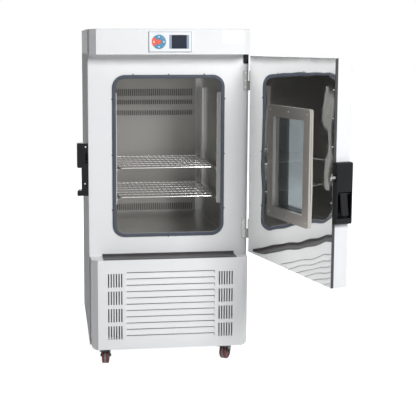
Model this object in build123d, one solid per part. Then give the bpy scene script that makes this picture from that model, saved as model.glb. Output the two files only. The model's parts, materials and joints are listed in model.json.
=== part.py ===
from build123d import *

import os
from math import cos, radians, sin

# Refrigerated incubator: a floor cabinet on casters, with its door standing open.
# Millimetres. X is the user's right, Y runs from front to back, Z is up.
# The origin is on the floor under the middle of the cabinet body.

# Cabinet body, from the floor up
cabinet_width = 724
cabinet_depth = 700
caster_height = 96
machine_height = 411
gutter_gap = 13
door_height = 892
door_top_gap = 7
fascia_height = 111
skin = 1.5

# Door and its seal
door_thickness = 76
seal_gap = 8
door_edge_inset = 8
door_width = 706
door_corner = 6
door_open_angle = 105
trim_depth = 12
trim_width = 10

# Fascia and grille panel, which stand as far forward as the closed door
front_step = 6
bevel_width = 28
bevel_depth = 30
fascia_return = 230
cover_seam = 1

# Chamber and its opening
opening_width = 475
opening_height = 700
opening_rise = 92
opening_corner = 40
chamber_width = 490
chamber_depth = 611
lip = 6
liner = 1.2
deck = 2
deck_drop = 76
roof_foam = 98
gasket_width = 16
gasket_height = 7.5

# Drip gutter below the door
gutter_width = 604
gutter_wall = 3
gutter_lip = 4
gutter_setback = 4
gutter_clearance = 1

# Air duct at the back of the chamber
duct_width = 414
duct_depth = 58
duct_clearance = 1
duct_slot_width = 7
duct_slot_pitch = 19.5
duct_slot_count = 20
duct_slot_rows = ((597, 35), (554, 23), (499, 25), (13, 34))

# Shelves, their standards and runners
standard_width = 24
standard_depth = 15
standard_wall = 1.5
standard_bottom = 129
standard_height = 511
standard_front = 58
standard_spacing = 440
standard_slot = 6
standard_slot_height = 14
standard_pitch = 63
runner_flange = 12
runner_wall = 2
shelf_levels = {"shelf_lower": 156, "shelf_upper": 291}
shelf_width = 444
shelf_depth = 450
shelf_front = 64
shelf_lift = 0.3
frame_rod = 3.5
cross_rod = 2.5
cross_rods = 5
rod_sides = 8
wire_radius = 1.5
wire_sides = 4
wire_count = 19

# Controller on the fascia
panel_width = 188
panel_height = 88
panel_thickness = 5
panel_offset = -4.5
panel_rise = 11
panel_corner = 4
panel_lap = 8
screen_width = 87
screen_height = 60
screen_inset = 11.5
screen_depth = 2
screen_proud = 0.3
keypad_radius = 31
keypad_inset = 44
keypad_clearance = 0.4
keypad_sides = 32
keypad_recess = 3.2
key_thickness = 2.8
key_proud = 1
key_gap = 0.9
centre_key_radius = 11

# Window through the door
window_width = 350
window_height = 482
window_offset = -11
window_rise = 205
window_border = 48
window_corner = 12
window_proud = 8
sleeve = 1.5
pane = 5
pane_setback = 6

# Handle on the door's free edge, and the strike on the cabinet's side
handle_height = 240
handle_rise = 257
handle_projection = 28
handle_width = 72
handle_foot = 23
handle_cover = 114
handle_round = 7
handle_bevel = 2
handle_wall = 6
pocket_depth = 22
lever_width = 32
lever_thickness = 10
lever_bevel = 2.5
lever_height = 92
lever_pivot_radius = 3
lever_pivot_drop = 8
lever_tilt = 10
hook_thickness = 5
hook_inset = 19
hook_drop = 57
hook_height = 10
hook_reach = 24
hook_nose = 8
hook_nose_length = 5
hook_pivot_back = 24
hook_pivot_radius = 3
slot_clearance = 2
strike_projection = 50
strike_depth = 45
strike_rise = 267
strike_height = 237
strike_block = 110
strike_neck = 30
strike_foot = 24
strike_round = 5
keeper_radius = 3
keeper_gap = 0.6
keeper_clearance = 4

# Door hinges
hinge_height = 88
hinge_levels = (62, 737)
hinge_axis_out = 6
hinge_axis_forward = 18
knuckle_radius = 6
pin_radius = 3
leaf_width = 22
leaf_thickness = 3
hinge_gap = 0.4
running_clearance = 0.05

# Door switch under the fascia
switch_width = 22
switch_height = 42
switch_thickness = 7.2
switch_round = 8

# Grille panel
louvre_count = 11
louvre_length = 400
louvre_height = 21
louvre_pitch = 29
louvre_depth = 8
louvre_top = 56
vent_width = 5.5
vent_height = 62
vent_pitch = 11.7
vent_row_pitch = 80
vent_columns = 6
vent_rows = 4
vent_margin = 48
vent_top = 62
foot_corner = 16

# Base frame and casters
rail = 30
caster_x = 285
caster_y = 300
plate_size = 60
plate_thickness = 4
race_radius = 25
race_height = 10
kingpin_radius = 5
fork_gap = 35
fork_wall = 3
fork_length = 40
crown_thickness = 4
wheel_radius = 37.5
wheel_width = 32
wheel_sides = 24
wheel_bevel = 5
axle_radius = 4
trail = 26
nut_radius = 7
nut_height = 4
nut_sides = 6
pedal_width = 46
pedal_length = 34
pedal_thickness = 3
pedal_travel = 12
pedal_gap = 0.3
swivel_gap = 0.3
caster_turns = {
    "front_left": -98,
    "front_right": -122,
    "rear_left": 75,
    "rear_right": 102,
}
braked = ("front_left", "front_right")

# Cooling plant in the base and air plant behind the duct
compressor_radius = 72
compressor_height = 205
compressor_dome = 30
compressor_x = 170
compressor_y = 150
foot_plate = 170
port_radius = 9
port_height = 6
pipe_radius = 5
pipe_sides = 8
pipe_rise = 80
pipe_setback = 80
condenser_width = 330
condenser_height = 300
condenser_depth = 44
condenser_x = -110
fin_pitch = 28
fin_thickness = 8
fin_depth = 14
condenser_fan_radius = 120
circulation_fan_radius = 85
circulation_fan_rise = 385
fan_hub_radius = 16
fan_hub_length = 18
fan_blades = 5
blade_thickness = 2
blade_pitch_angle = 28
motor_radius = 32
motor_length = 26
shaft_radius = 4
blade_root = 2
blade_clearance = 14
round_sides = 24
fan_motor_gap = 4
motor_arm = 14
evaporator_width = 340
evaporator_height = 190
evaporator_rise = 54
evaporator_depth = 46
heater_width = 300
heater_rise = 270
heater_radius = 4
heater_block = 22
probe_radius = 3
probe_length = 44
probe_x = 140
probe_rise = 660
control_width = 260
control_depth = 190
control_height = 70

# Mains inlet and vents on the back
inlet_width = 52
inlet_height = 32
inlet_depth = 12
inlet_wall = 6
inlet_x = -250
inlet_rise = 85
back_vent_length = 180
back_vent_height = 6
back_vent_pitch = 22
back_vent_rows = 8
back_vent_rise = 180
back_vent_x = 170

# How far a cutting shape runs past the face that it cuts
cut_margin = 1

# Levels and planes that follow from the sizes above
half_width = cabinet_width / 2
front_half = half_width - front_step
y_frame = -cabinet_depth / 2
y_back = cabinet_depth / 2
y_door_in = y_frame - seal_gap
y_front = y_door_in - door_thickness
z_ledge = caster_height + machine_height
z_door = z_ledge + gutter_gap
z_door_top = z_door + door_height
z_fascia = z_door_top + door_top_gap
z_top = z_fascia + fascia_height
z_opening = z_door + opening_rise
z_opening_top = z_opening + opening_height
z_chamber = z_opening - lip
z_chamber_top = z_opening_top + lip
z_deck = z_chamber - deck_drop
z_foam_top = z_chamber_top + roof_foam
y_liner = y_frame + skin + chamber_depth
y_duct = y_liner - duct_depth
chamber_half = chamber_width / 2
door_right = half_width - door_edge_inset
door_left = door_right - door_width
hinge_x = half_width + hinge_axis_out
hinge_y = y_frame - hinge_axis_forward
hinge_axis = Axis((hinge_x, hinge_y, 0), (0, 0, 1))
MIN_Z = (Align.CENTER, Align.CENTER, Align.MIN)
TURNS = {"X": Rot(0, 90, 0), "Y": Rot(-90, 0, 0), "Z": Rot(0, 0, 0)}


def block(x, y, z):
    """A box between the low and high value of each direction."""
    size = (x[1] - x[0], y[1] - y[0], z[1] - z[0])
    return Pos((x[0] + x[1]) / 2, (y[0] + y[1]) / 2, (z[0] + z[1]) / 2) * Box(*size)


def rod(start, along, radius, length):
    """A round bar that starts at a point and runs along X, Y or Z."""
    return Pos(*start) * TURNS[along] * Cylinder(radius, length, align=MIN_Z)


def bar(start, along, radius, length, sides):
    """A many-sided bar that starts at a point and runs along X, Y or Z."""
    return Pos(*start) * TURNS[along] * extrude(RegularPolygon(radius, sides), length)


def upright_slab(centre_x, centre_z, width, height, corner, y_low, y_high):
    """A slab with rounded corners that stands in the XZ plane."""
    plane = Plane((centre_x, y_high, centre_z), x_dir=(1, 0, 0), z_dir=(0, -1, 0))
    return extrude(plane * RectangleRounded(width, height, corner), y_high - y_low)


def prism_x(points, x_low, x_high):
    """A prism along X whose outline is a list of (y, z) points."""
    plane = Plane((x_low, 0, 0), x_dir=(0, 1, 0), z_dir=(1, 0, 0))
    return extrude(plane * make_face(Polyline(*points, close=True)), x_high - x_low)


def save(name, *pieces):
    """One sub-part: all its solids in one file."""
    solids = [solid for piece in pieces for solid in piece.solids()]
    export_step(solids[0] if len(solids) == 1 else Compound(solids), f"parts/{name}.step")


def open_door(piece):
    """Turns a door piece from its closed place to where the door stands."""
    return piece.rotate(hinge_axis, door_open_angle)


def front_outline(y_rear, y_step):
    """Plan outline of a front cover with bevelled corners; it widens behind y_step."""
    right = [
        (front_half - bevel_width, y_front),
        (front_half, y_front + bevel_depth),
        (front_half, y_step),
        (half_width, y_step),
        (half_width, y_rear),
    ]
    return right + [(-x, y) for x, y in reversed(right)]


def cover_outline():
    """Plan outline of the grille panel, which ends at the front frame."""
    right = [
        (front_half - bevel_width, y_front),
        (front_half, y_front + bevel_depth),
        (front_half, y_frame),
    ]
    return right + [(-x, y) for x, y in reversed(right)]


def folded_sheet(points, z_low, z_high, y_rear):
    """A sheet bent along a plan outline, open at the rear, above and below."""
    outline = make_face(Polyline(*points, close=True))
    core = extrude(offset(outline, -skin, kind=Kind.INTERSECTION), z_high - z_low)
    inner_half = max(x for x, _ in points) - skin
    rear = block((-inner_half, inner_half), (y_rear - 2 * skin, y_rear), (0, z_high - z_low))
    sheet = extrude(outline, z_high - z_low) - core - rear
    return Pos(0, 0, z_low) * sheet


def side_panels():
    """Painted sheets on the left and right of the body."""
    for name, side in (("side_panel_left", -1), ("side_panel_right", 1)):
        x = sorted((side * half_width, side * (half_width - skin)))
        save(name, block(x, (y_frame, y_back), (caster_height, z_fascia)))


def back_panel():
    """Rear sheet, with vents for the machine compartment."""
    half = half_width - skin
    sheet = block((-half, half), (y_back - skin, y_back), (caster_height, z_top - skin))
    for side in (-1, 1):
        for row in range(back_vent_rows):
            z = caster_height + back_vent_rise + row * back_vent_pitch
            x = side * back_vent_x
            sheet -= block(
                (x - back_vent_length / 2, x + back_vent_length / 2),
                (y_back - 2 * skin, y_back + skin),
                (z, z + back_vent_height),
            )
    save("back_panel", sheet)


def top_panel():
    """Roof sheet with turned-down sides behind the fascia's returns."""
    outline = front_outline(y_back, y_frame)
    roof = Pos(0, 0, z_top - skin) * extrude(make_face(Polyline(*outline, close=True)), skin)
    y_side = y_frame + fascia_return + cover_seam
    for side in (-1, 1):
        x = sorted((side * half_width, side * (half_width - skin)))
        roof += block(x, (y_side, y_back), (z_fascia, z_top - skin))
    save("top_panel", roof)


def top_fascia():
    """Head of the cabinet: bevelled front cover with side returns and a closed underside."""
    y_rear = y_frame + fascia_return
    shell = folded_sheet(front_outline(y_rear, y_frame), z_fascia, z_top - skin, y_rear)
    floor = make_face(Polyline(*cover_outline(), close=True))
    shell += Pos(0, 0, z_fascia) * extrude(floor, skin)
    half_hole = panel_width / 2 - panel_lap
    shell -= block(
        (panel_offset - half_hole, panel_offset + half_hole),
        (y_front - skin, y_front + 2 * skin),
        (z_fascia + panel_rise + panel_lap, z_fascia + panel_rise + panel_height - panel_lap),
    )
    save("top_fascia", shell)


def front_frame():
    """White frame around the chamber's opening."""
    frame = block(
        (-half_width + skin, half_width - skin), (y_frame, y_frame + skin), (z_ledge, z_fascia)
    )
    frame -= upright_slab(
        0,
        z_opening + opening_height / 2,
        opening_width,
        opening_height,
        opening_corner,
        y_frame - skin,
        y_frame + 2 * skin,
    )
    save("front_frame", frame)


def opening_gasket():
    """Rubber ring round the opening."""
    z = z_opening + opening_height / 2
    ring = upright_slab(
        0,
        z,
        opening_width + 2 * gasket_width,
        opening_height + 2 * gasket_width,
        opening_corner + gasket_width,
        y_frame - gasket_height,
        y_frame,
    )
    ring -= upright_slab(
        0,
        z,
        opening_width,
        opening_height,
        opening_corner,
        y_frame - 2 * gasket_height,
        y_frame + gasket_height,
    )
    save("opening_gasket", ring)


def chamber_liner():
    """Stainless chamber: five sheets that meet along their edges."""
    y = (y_frame + skin, y_liner)
    z = (z_chamber, z_chamber_top)
    outer = chamber_half + liner
    z_outer = (z_chamber - liner, z_chamber_top + liner)
    save(
        "chamber_liner",
        block((-outer, -chamber_half), (y[0], y_liner + liner), z_outer),
        block((chamber_half, outer), (y[0], y_liner + liner), z_outer),
        block((-chamber_half, chamber_half), (y[0], y_liner + liner), (z_outer[0], z[0])),
        block((-chamber_half, chamber_half), (y[0], y_liner + liner), (z[1], z_outer[1])),
        block((-chamber_half, chamber_half), (y_liner, y_liner + liner), z),
    )


def insulation():
    """Foam between the chamber and the outer sheets, in five slabs."""
    outer = half_width - skin
    inner = chamber_half + liner
    y = (y_frame + skin, y_back - skin)
    z = (z_chamber - liner, z_chamber_top + liner)
    save(
        "insulation",
        block((-outer, -inner), y, (z_deck, z_foam_top)),
        block((inner, outer), y, (z_deck, z_foam_top)),
        block((-inner, inner), y, (z_deck, z[0])),
        block((-inner, inner), y, (z[1], z_foam_top)),
        block((-inner, inner), (y_liner + liner, y[1]), z),
    )


def drip_gutter():
    """Dark channel under the door that catches condensate."""
    x = (-gutter_width / 2, gutter_width / 2)
    y_lip = y_front + gutter_setback
    profile = [
        (y_frame, z_ledge),
        (y_frame, z_door - gutter_clearance),
        (y_frame - gutter_wall, z_door - gutter_clearance),
        (y_frame - gutter_wall, z_ledge + gutter_wall),
        (y_lip + gutter_wall, z_ledge + gutter_wall),
        (y_lip + gutter_wall, z_ledge + gutter_lip),
        (y_lip, z_ledge + gutter_lip),
        (y_lip, z_ledge),
    ]
    save("drip_gutter", prism_x(profile, *x))


def rear_duct_panel():
    """Cover of the air duct, with rows of upright slots."""
    half = duct_width / 2
    z = (z_chamber + duct_clearance, z_chamber_top - duct_clearance)
    cover = block((-half, half), (y_duct, y_liner), z)
    z_cut = (z[0] - cut_margin, z[1] + cut_margin)
    cover -= block((-half + liner, half - liner), (y_duct + liner, y_liner + liner), z_cut)
    first = -(duct_slot_count - 1) * duct_slot_pitch / 2
    for rise, height in duct_slot_rows:
        for index in range(duct_slot_count):
            x = first + index * duct_slot_pitch
            cover -= block(
                (x - duct_slot_width / 2, x + duct_slot_width / 2),
                (y_duct - liner, y_duct + 2 * liner),
                (z_chamber + rise, z_chamber + rise + height),
            )
    save("rear_duct_panel", cover)


def standard_places():
    """Side and front edge of each of the four shelf standards."""
    y_first = y_frame + standard_front
    return [(side, y) for side in (-1, 1) for y in (y_first, y_first + standard_spacing)]


def shelf_standards():
    """Slotted channels on the chamber's side walls."""
    z_low = z_chamber + standard_bottom
    pieces = []
    for side, y in standard_places():
        x_wall = side * chamber_half
        x_face = side * (chamber_half - standard_depth)
        x_inner = side * (chamber_half - standard_depth + standard_wall)
        z = (z_low, z_low + standard_height)
        channel = block(sorted((x_wall, x_face)), (y, y + standard_width), z)
        hollow = (y + standard_wall, y + standard_width - standard_wall)
        z_cut = (z[0] - cut_margin, z[1] + cut_margin)
        channel -= block(sorted((x_wall, x_inner)), hollow, z_cut)
        middle = y + standard_width / 2
        holes = int(standard_height / standard_pitch)
        for index in range(holes):
            z_hole = z_low + (index + 0.5) * standard_pitch
            channel -= block(
                sorted((x_wall, x_face - side)),
                (middle - standard_slot / 2, middle + standard_slot / 2),
                (z_hole - standard_slot_height / 2, z_hole + standard_slot_height / 2),
            )
        pieces.append(channel)
    save("shelf_standards", *pieces)


def shelf_runners():
    """Angle rails between the standards that carry the shelves."""
    x_face = chamber_half - standard_depth
    y_low = y_frame + standard_front
    y = (y_low, y_low + standard_spacing + standard_width)
    pieces = []
    for level in shelf_levels.values():
        z = z_chamber + level
        for side in (-1, 1):
            flat = sorted((side * x_face, side * (x_face - runner_flange)))
            web = sorted((side * x_face, side * (x_face - runner_wall)))
            rail_flat = block(flat, y, (z - runner_wall, z))
            pieces.append(rail_flat + block(web, y, (z - runner_flange, z)))
    save("shelf_runners", *pieces)


def shelf(name, level):
    """Wire shelf: a rod frame, cross rods level with its top, and wires laid over them."""
    half = shelf_width / 2 - frame_rod
    y_low = y_frame + shelf_front + frame_rod
    y_high = y_frame + shelf_front + shelf_depth - frame_rod
    z = z_chamber + level + shelf_lift + frame_rod
    run = 2 * half - 2 * frame_rod
    pieces = []
    for side in (-1, 1):
        pieces.append(bar((side * half, y_low - frame_rod, z), "Y", frame_rod, shelf_depth, rod_sides))
    for y in (y_low, y_high):
        pieces.append(bar((-half + frame_rod, y, z), "X", frame_rod, run, rod_sides))
    z_cross = z + frame_rod - cross_rod
    step = (y_high - y_low) / (cross_rods + 1)
    for index in range(1, cross_rods + 1):
        start = (-half + frame_rod, y_low + index * step, z_cross)
        pieces.append(bar(start, "X", cross_rod, run, rod_sides))
    z_wire = z + frame_rod + wire_radius
    spacing = run / (wire_count + 1)
    for index in range(1, wire_count + 1):
        start = (-half + frame_rod + index * spacing, y_low - frame_rod, z_wire)
        pieces.append(bar(start, "Y", wire_radius, shelf_depth, wire_sides))
    save(name, *pieces)


def air_plant():
    """Evaporator, heater and probe behind the duct cover."""
    y_face = y_liner - evaporator_depth
    z_core = z_chamber + evaporator_rise
    save("evaporator", finned_core(0, evaporator_width, y_face, y_liner, z_core, evaporator_height))

    z = z_chamber + heater_rise
    y = y_liner - heater_block / 2
    half = heater_width / 2
    half_block = heater_block / 2
    element = bar((-half, y, z), "X", heater_radius, heater_width, rod_sides)
    for x in (-half - heater_block, half):
        y_block = (y_liner - heater_block, y_liner)
        element += block((x, x + heater_block), y_block, (z - half_block, z + half_block))
    save("air_heater", element)

    probe_start = (probe_x, y_liner - probe_length, z_chamber + probe_rise)
    save("temperature_probe", bar(probe_start, "Y", probe_radius, probe_length, rod_sides))


def finned_core(x, width, y_low, y_high, z_low, height):
    """Heat exchanger core: upright fins on a solid block, cut as a comb."""
    left = x - width / 2
    count = int(width / fin_pitch)
    points = [(left, y_high), (left, y_low)]
    for index in range(count):
        start = left + index * width / count
        points += [
            (start + fin_thickness, y_low),
            (start + fin_thickness, y_low + fin_depth),
            (start + width / count, y_low + fin_depth),
            (start + width / count, y_low),
        ]
    points[-2:] = [(left + width, y_low + fin_depth)]
    points.append((left + width, y_high))
    comb = make_face(Polyline(*points, close=True))
    return Pos(0, 0, z_low) * extrude(comb, height)


def fan_wheel(radius, x, y, z):
    """Axial fan wheel on a bored hub; its axis is along Y."""
    hub = bar((0, 0, 0), "Z", fan_hub_radius, fan_hub_length, round_sides)
    blade_length = radius - fan_hub_radius + blade_root
    blade = Rot(blade_pitch_angle, 0, 0) * Box(blade_length, 2 * fan_hub_radius, blade_thickness)
    blade = Pos(fan_hub_radius - blade_root + blade_length / 2, 0, fan_hub_length / 2) * blade
    for index in range(fan_blades):
        hub += Rot(0, 0, 360 / fan_blades * index) * blade
    bore_radius = shaft_radius + running_clearance
    hub -= rod((0, 0, -cut_margin), "Z", bore_radius, fan_hub_length + 2 * cut_margin)
    return Pos(x, y, z) * TURNS["Y"] * hub


def fans():
    """Circulation fan behind the duct cover, and the condenser's fan."""
    z = z_chamber + circulation_fan_rise
    y_motor = y_liner - motor_length
    y_wheel = y_motor - fan_motor_gap - fan_hub_length
    shaft = fan_motor_gap + fan_hub_length
    motor = bar((0, y_motor, z), "Y", motor_radius, motor_length, round_sides)
    motor += rod((0, y_wheel, z), "Y", shaft_radius, shaft)
    save("circulation_fan", fan_wheel(circulation_fan_radius, 0, y_wheel, z))

    y_core = y_frame + skin + condenser_depth
    z = caster_height + rail + condenser_height / 2
    y_fan = y_core + blade_clearance
    x = condenser_x
    drive = bar((x, y_fan + shaft, z), "Y", motor_radius, motor_length, round_sides)
    drive += rod((x, y_fan, z), "Y", shaft_radius, shaft)
    y_arm = y_fan + shaft + motor_length - motor_arm / 2
    half = condenser_width / 2
    drive += block((x - half, x + half), (y_arm, y_arm + motor_arm / 2), (z - motor_arm, z + motor_arm))
    for side in (-1, 1):
        ends = sorted((x + side * half, x + side * (half - motor_arm / 2)))
        drive += block(ends, (y_core, y_arm + motor_arm / 2), (z - motor_arm, z + motor_arm))
    save("condenser_fan", fan_wheel(condenser_fan_radius, x, y_fan, z))
    save("fan_motors", motor, drive)


def cooling_plant():
    """Compressor, condenser and pipes in the base."""
    z = caster_height + deck
    y_low = y_frame + skin
    z_core = caster_height + rail
    y_core = y_low + condenser_depth
    save("condenser", finned_core(condenser_x, condenser_width, y_low, y_core, z_core, condenser_height))

    base = (compressor_x, compressor_y, z + deck)
    shell = bar(base, "Z", compressor_radius, compressor_height, round_sides)
    shell = chamfer(shell.faces().sort_by(Axis.Z)[-1].edges(), compressor_dome)
    shell += block(
        (compressor_x - foot_plate / 2, compressor_x + foot_plate / 2),
        (compressor_y - foot_plate / 2, compressor_y + foot_plate / 2),
        (z, z + deck),
    )
    z_port = z + deck + compressor_height
    shell += bar((compressor_x, compressor_y, z_port), "Z", port_radius, port_height, rod_sides)
    save("compressor", shell)

    start = (compressor_x, compressor_y, z_port + port_height)
    elbow = (compressor_x, compressor_y, start[2] + pipe_rise)
    y_riser = y_back - skin - pipe_setback
    route = Polyline(start, elbow, (compressor_x, y_riser, elbow[2]), (compressor_x, y_riser, z_deck - deck))
    section = Plane(start) * RegularPolygon(pipe_radius, pipe_sides)
    save("refrigerant_lines", sweep(section, route, transition=Transition.RIGHT))


def base_frame():
    """Base pan, rails and posts, with the deck that carries the insulated body."""
    x = half_width - skin
    y = (y_frame + skin, y_back - skin)
    z = (caster_height, caster_height + rail)
    z_post = (z[1], z_deck - deck)
    pieces = [
        block((-x, -x + rail), y, z),
        block((x - rail, x), y, z),
        block((-x + rail, x - rail), (y[0], y[0] + rail), z),
        block((-x + rail, x - rail), (y[1] - rail, y[1]), z),
        block((-x + rail, x - rail), (y[0] + rail, y[1] - rail), (z[0], z[0] + deck)),
        block((-x, x), y, (z_deck - deck, z_deck)),
    ]
    for side_x in (-x, x - rail):
        for side_y in (y[0], y[1] - rail):
            pieces.append(block((side_x, side_x + rail), (side_y, side_y + rail), z_post))
    save("base_frame", *pieces)


def lower_grille_panel():
    """Front cover of the base, with pressed-in louvres and upright vents."""
    z = (caster_height, z_ledge)
    height = z[1] - z[0]
    outline = make_face(Polyline(*cover_outline(), close=True))
    solid = Pos(0, 0, z[0]) * extrude(outline, height)
    inner_outline = offset(outline, -skin, kind=Kind.INTERSECTION)
    hollow = Pos(0, 0, z[0] + skin) * extrude(inner_outline, height - 2 * skin)
    rear = front_half - skin
    hollow += block((-rear, rear), (y_frame - 2 * skin, y_frame), (z[0] + skin, z[1] - skin))
    solid &= foot_shape(0)
    hollow &= foot_shape(skin)
    panel = solid - hollow
    for row in range(louvre_count):
        z_edge = z[1] - louvre_top - row * louvre_pitch
        half = louvre_length / 2
        panel -= block((-half, half), (y_front - skin, y_front + 2 * skin), (z_edge - louvre_height, z_edge))
        blade = [
            (y_front, z_edge - louvre_height),
            (y_front + skin, z_edge - louvre_height),
            (y_front + skin + louvre_depth, z_edge),
            (y_front + louvre_depth, z_edge),
        ]
        panel += prism_x(blade, -half, half)
        for x in (-half - skin, half):
            tip = (y_front + skin + louvre_depth, z_edge)
            cheek = [(y_front, z_edge - louvre_height), tip, (y_front, z_edge)]
            panel += prism_x(cheek, x, x + skin)
    for side in (-1, 1):
        for column in range(vent_columns):
            x = side * (front_half - bevel_width - vent_margin - column * vent_pitch)
            for row in range(vent_rows):
                z_vent = z[1] - vent_top - row * vent_row_pitch
                panel -= block(
                    (x - vent_width / 2, x + vent_width / 2),
                    (y_front - skin, y_front + 2 * skin),
                    (z_vent - vent_height, z_vent),
                )
    save("lower_grille_panel", panel)


def foot_shape(inset):
    """Front silhouette of the grille panel, rounded at its two lower corners."""
    half = front_half - inset
    z = (caster_height + inset, z_ledge - inset)
    shape = block((-half, half), (y_front - skin, y_frame + skin), z)
    low_edges = shape.edges().filter_by(Axis.Y).sort_by(Axis.Z)[:2]
    return fillet(low_edges, foot_corner - inset)


def controller():
    """Controller on the fascia: bezel, screen, and five keys in a round recess."""
    z_mid = z_fascia + panel_rise + panel_height / 2
    y_face = y_front - panel_thickness
    left = panel_offset - panel_width / 2
    right = panel_offset + panel_width / 2
    bezel = upright_slab(panel_offset, z_mid, panel_width, panel_height, panel_corner, y_face, y_front)
    key_x = left + keypad_inset
    recess = keypad_radius + keypad_clearance
    y_cut = y_face - cut_margin
    bezel -= bar((key_x, y_cut, z_mid), "Y", recess, keypad_recess + cut_margin, keypad_sides)
    screen_x = (right - screen_inset - screen_width, right - screen_inset)
    screen_z = (z_mid - screen_height / 2, z_mid + screen_height / 2)
    bezel -= block(screen_x, (y_cut, y_face + screen_depth), screen_z)
    save("controller_bezel", bezel)
    save("controller_display", block(screen_x, (y_face - screen_proud, y_face + screen_depth), screen_z))

    y_key = y_face - key_proud
    ring = bar((key_x, y_key, z_mid), "Y", keypad_radius, key_thickness, keypad_sides)
    hole = centre_key_radius + key_gap
    y_hole = y_key - cut_margin
    ring -= bar((key_x, y_hole, z_mid), "Y", hole, key_thickness + 2 * cut_margin, keypad_sides)
    slit = Box(3 * keypad_radius, 3 * key_thickness, key_gap)
    for turn in (-45, 45):
        ring -= Pos(key_x, y_key, z_mid) * Rot(0, turn, 0) * slit
    keys = ring.solids()
    save("key_up", keys.sort_by(Axis.Z)[-1])
    save("key_down", keys.sort_by(Axis.Z)[0])
    save("key_right", keys.sort_by(Axis.X)[-1])
    save("key_left", keys.sort_by(Axis.X)[0])
    centre = (key_x, y_key, z_mid)
    save("key_centre", bar(centre, "Y", centre_key_radius, key_thickness, keypad_sides))


def door_switch():
    """Small switch block that the closed door presses."""
    x = half_width - skin - switch_width
    y = (y_frame - switch_thickness, y_frame)
    body = block((x, x + switch_width), y, (z_fascia - switch_height, z_fascia))
    corner = body.edges().filter_by(Axis.Y).sort_by(Axis.Z)[:2].sort_by(Axis.X)[0]
    save("door_switch", fillet(corner, switch_round))


def door_outline(inset, y_low, y_high):
    """A slab as large as the closed door less an inset all round."""
    return block(
        (door_left + inset, door_right - inset), (y_low, y_high), (z_door + inset, z_door_top - inset)
    )


def window_flange(y_low, y_high):
    """A slab as large as the window's frame, with rounded corners."""
    z_mid = z_door + window_rise + window_height / 2
    return upright_slab(window_offset, z_mid, window_width, window_height, window_corner, y_low, y_high)


def window_slab(grow, y_low, y_high):
    """A slab as large as the window's glass opening, grown all round."""
    half = window_width / 2 - window_border + grow
    z_low = z_door + window_rise + window_border - grow
    z_high = z_door + window_rise + window_height - window_border + grow
    return block((window_offset - half, window_offset + half), (y_low, y_high), (z_low, z_high))


def softened(slab, radius):
    """A slab with rounded edges round its front face."""
    return fillet(slab.faces().sort_by(Axis.Y)[0].edges(), radius)


def door_shell():
    """Door body: painted tray, black edge trim, foam and mirror-finished inner sheet."""
    y_sheet = y_door_in - liner
    y_trim = y_sheet - trim_depth
    hole = window_slab(sleeve, y_front - skin, y_frame)
    tray = softened(door_outline(0, y_front, y_trim), door_corner)
    cavity = softened(door_outline(skin, y_front + skin, y_door_in), door_corner - skin)
    save("door_outer_skin", open_door(tray - cavity - hole))
    trim = door_outline(0, y_trim, y_sheet) - door_outline(trim_width, y_front, y_frame)
    save("door_edge_trim", open_door(trim))
    save("door_inner_panel", open_door(door_outline(skin / 2, y_sheet, y_door_in) - hole))

    y = (y_front + skin, y_sheet)
    x = (door_left + trim_width, door_right - trim_width)
    z = (z_door + trim_width, z_door_top - trim_width)
    half_glass = window_width / 2 - window_border + sleeve
    z_low = z_door + window_rise + window_border - sleeve
    z_high = z_door + window_rise + window_height - window_border + sleeve
    slabs = [
        block((x[0], window_offset - half_glass), y, z),
        block((window_offset + half_glass, x[1]), y, z),
        block((window_offset - half_glass, window_offset + half_glass), y, (z[0], z_low)),
        block((window_offset - half_glass, window_offset + half_glass), y, (z_high, z[1])),
    ]
    save("door_foam", *[open_door(slab) for slab in slabs])


def door_window():
    """Window: brushed frames with sleeves through the door, and two panes."""
    y_mid = (y_front + y_door_in) / 2
    y_face = y_door_in + window_proud
    inner = window_flange(y_door_in, y_face) + window_slab(sleeve, y_mid, y_door_in)
    inner -= window_slab(0, y_front, y_face + cut_margin)
    save("window_frame_inner", open_door(inner))
    outer = window_flange(y_front - skin, y_front) + window_slab(sleeve, y_front, y_mid)
    outer -= window_slab(0, y_front - 2 * skin, y_door_in)
    save("window_frame_outer", open_door(outer))
    y_inner = y_door_in - pane_setback
    y_outer = y_front + pane_setback
    panes = [
        window_slab(0, y_inner - pane, y_inner),
        window_slab(0, y_outer, y_outer + pane),
    ]
    save("window_glass", *[open_door(glass) for glass in panes])


def hinges():
    """Two lift-off hinges: leaf and pin on the frame, bored leaf on the door's edge."""
    fixed = []
    moving = []
    half = hinge_height / 2
    x_leaf = half_width - skin
    for level in hinge_levels:
        z = z_door + level
        z_half = z + half
        y_plate = (y_frame - leaf_thickness, y_frame)
        leaf = block((x_leaf - leaf_width, x_leaf), y_plate, (z, z + hinge_height))
        x_arm = (x_leaf - leaf_thickness, hinge_x - pin_radius)
        arm = block(x_arm, (hinge_y, y_frame), (z, z_half - hinge_gap))
        knuckle = rod((hinge_x, hinge_y, z), "Z", knuckle_radius, half - hinge_gap)
        pin = rod((hinge_x, hinge_y, z), "Z", pin_radius, hinge_height)
        fixed.append(leaf + arm + knuckle + pin)

        z_upper = (z_half, z + hinge_height)
        x_plate = (door_right, door_right + leaf_thickness)
        plate = block(x_plate, (hinge_y - 2 * leaf_width, hinge_y), z_upper)
        y_web = (hinge_y - knuckle_radius, hinge_y - knuckle_radius + leaf_thickness - hinge_gap)
        plate += block((door_right, hinge_x), y_web, z_upper)
        plate += rod((hinge_x, hinge_y, z_half), "Z", knuckle_radius, half)
        bore_radius = pin_radius + running_clearance
        plate -= rod((hinge_x, hinge_y, z), "Z", bore_radius, hinge_height + cut_margin)
        moving.append(open_door(plate))
    save("cabinet_hinges", *fixed)
    save("door_hinges", *moving)


def handle_levels():
    """Foot, pocket floor, pocket roof and top of the handle."""
    z = z_door + handle_rise
    return z, z + handle_foot, z + handle_height - handle_cover, z + handle_height


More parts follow.
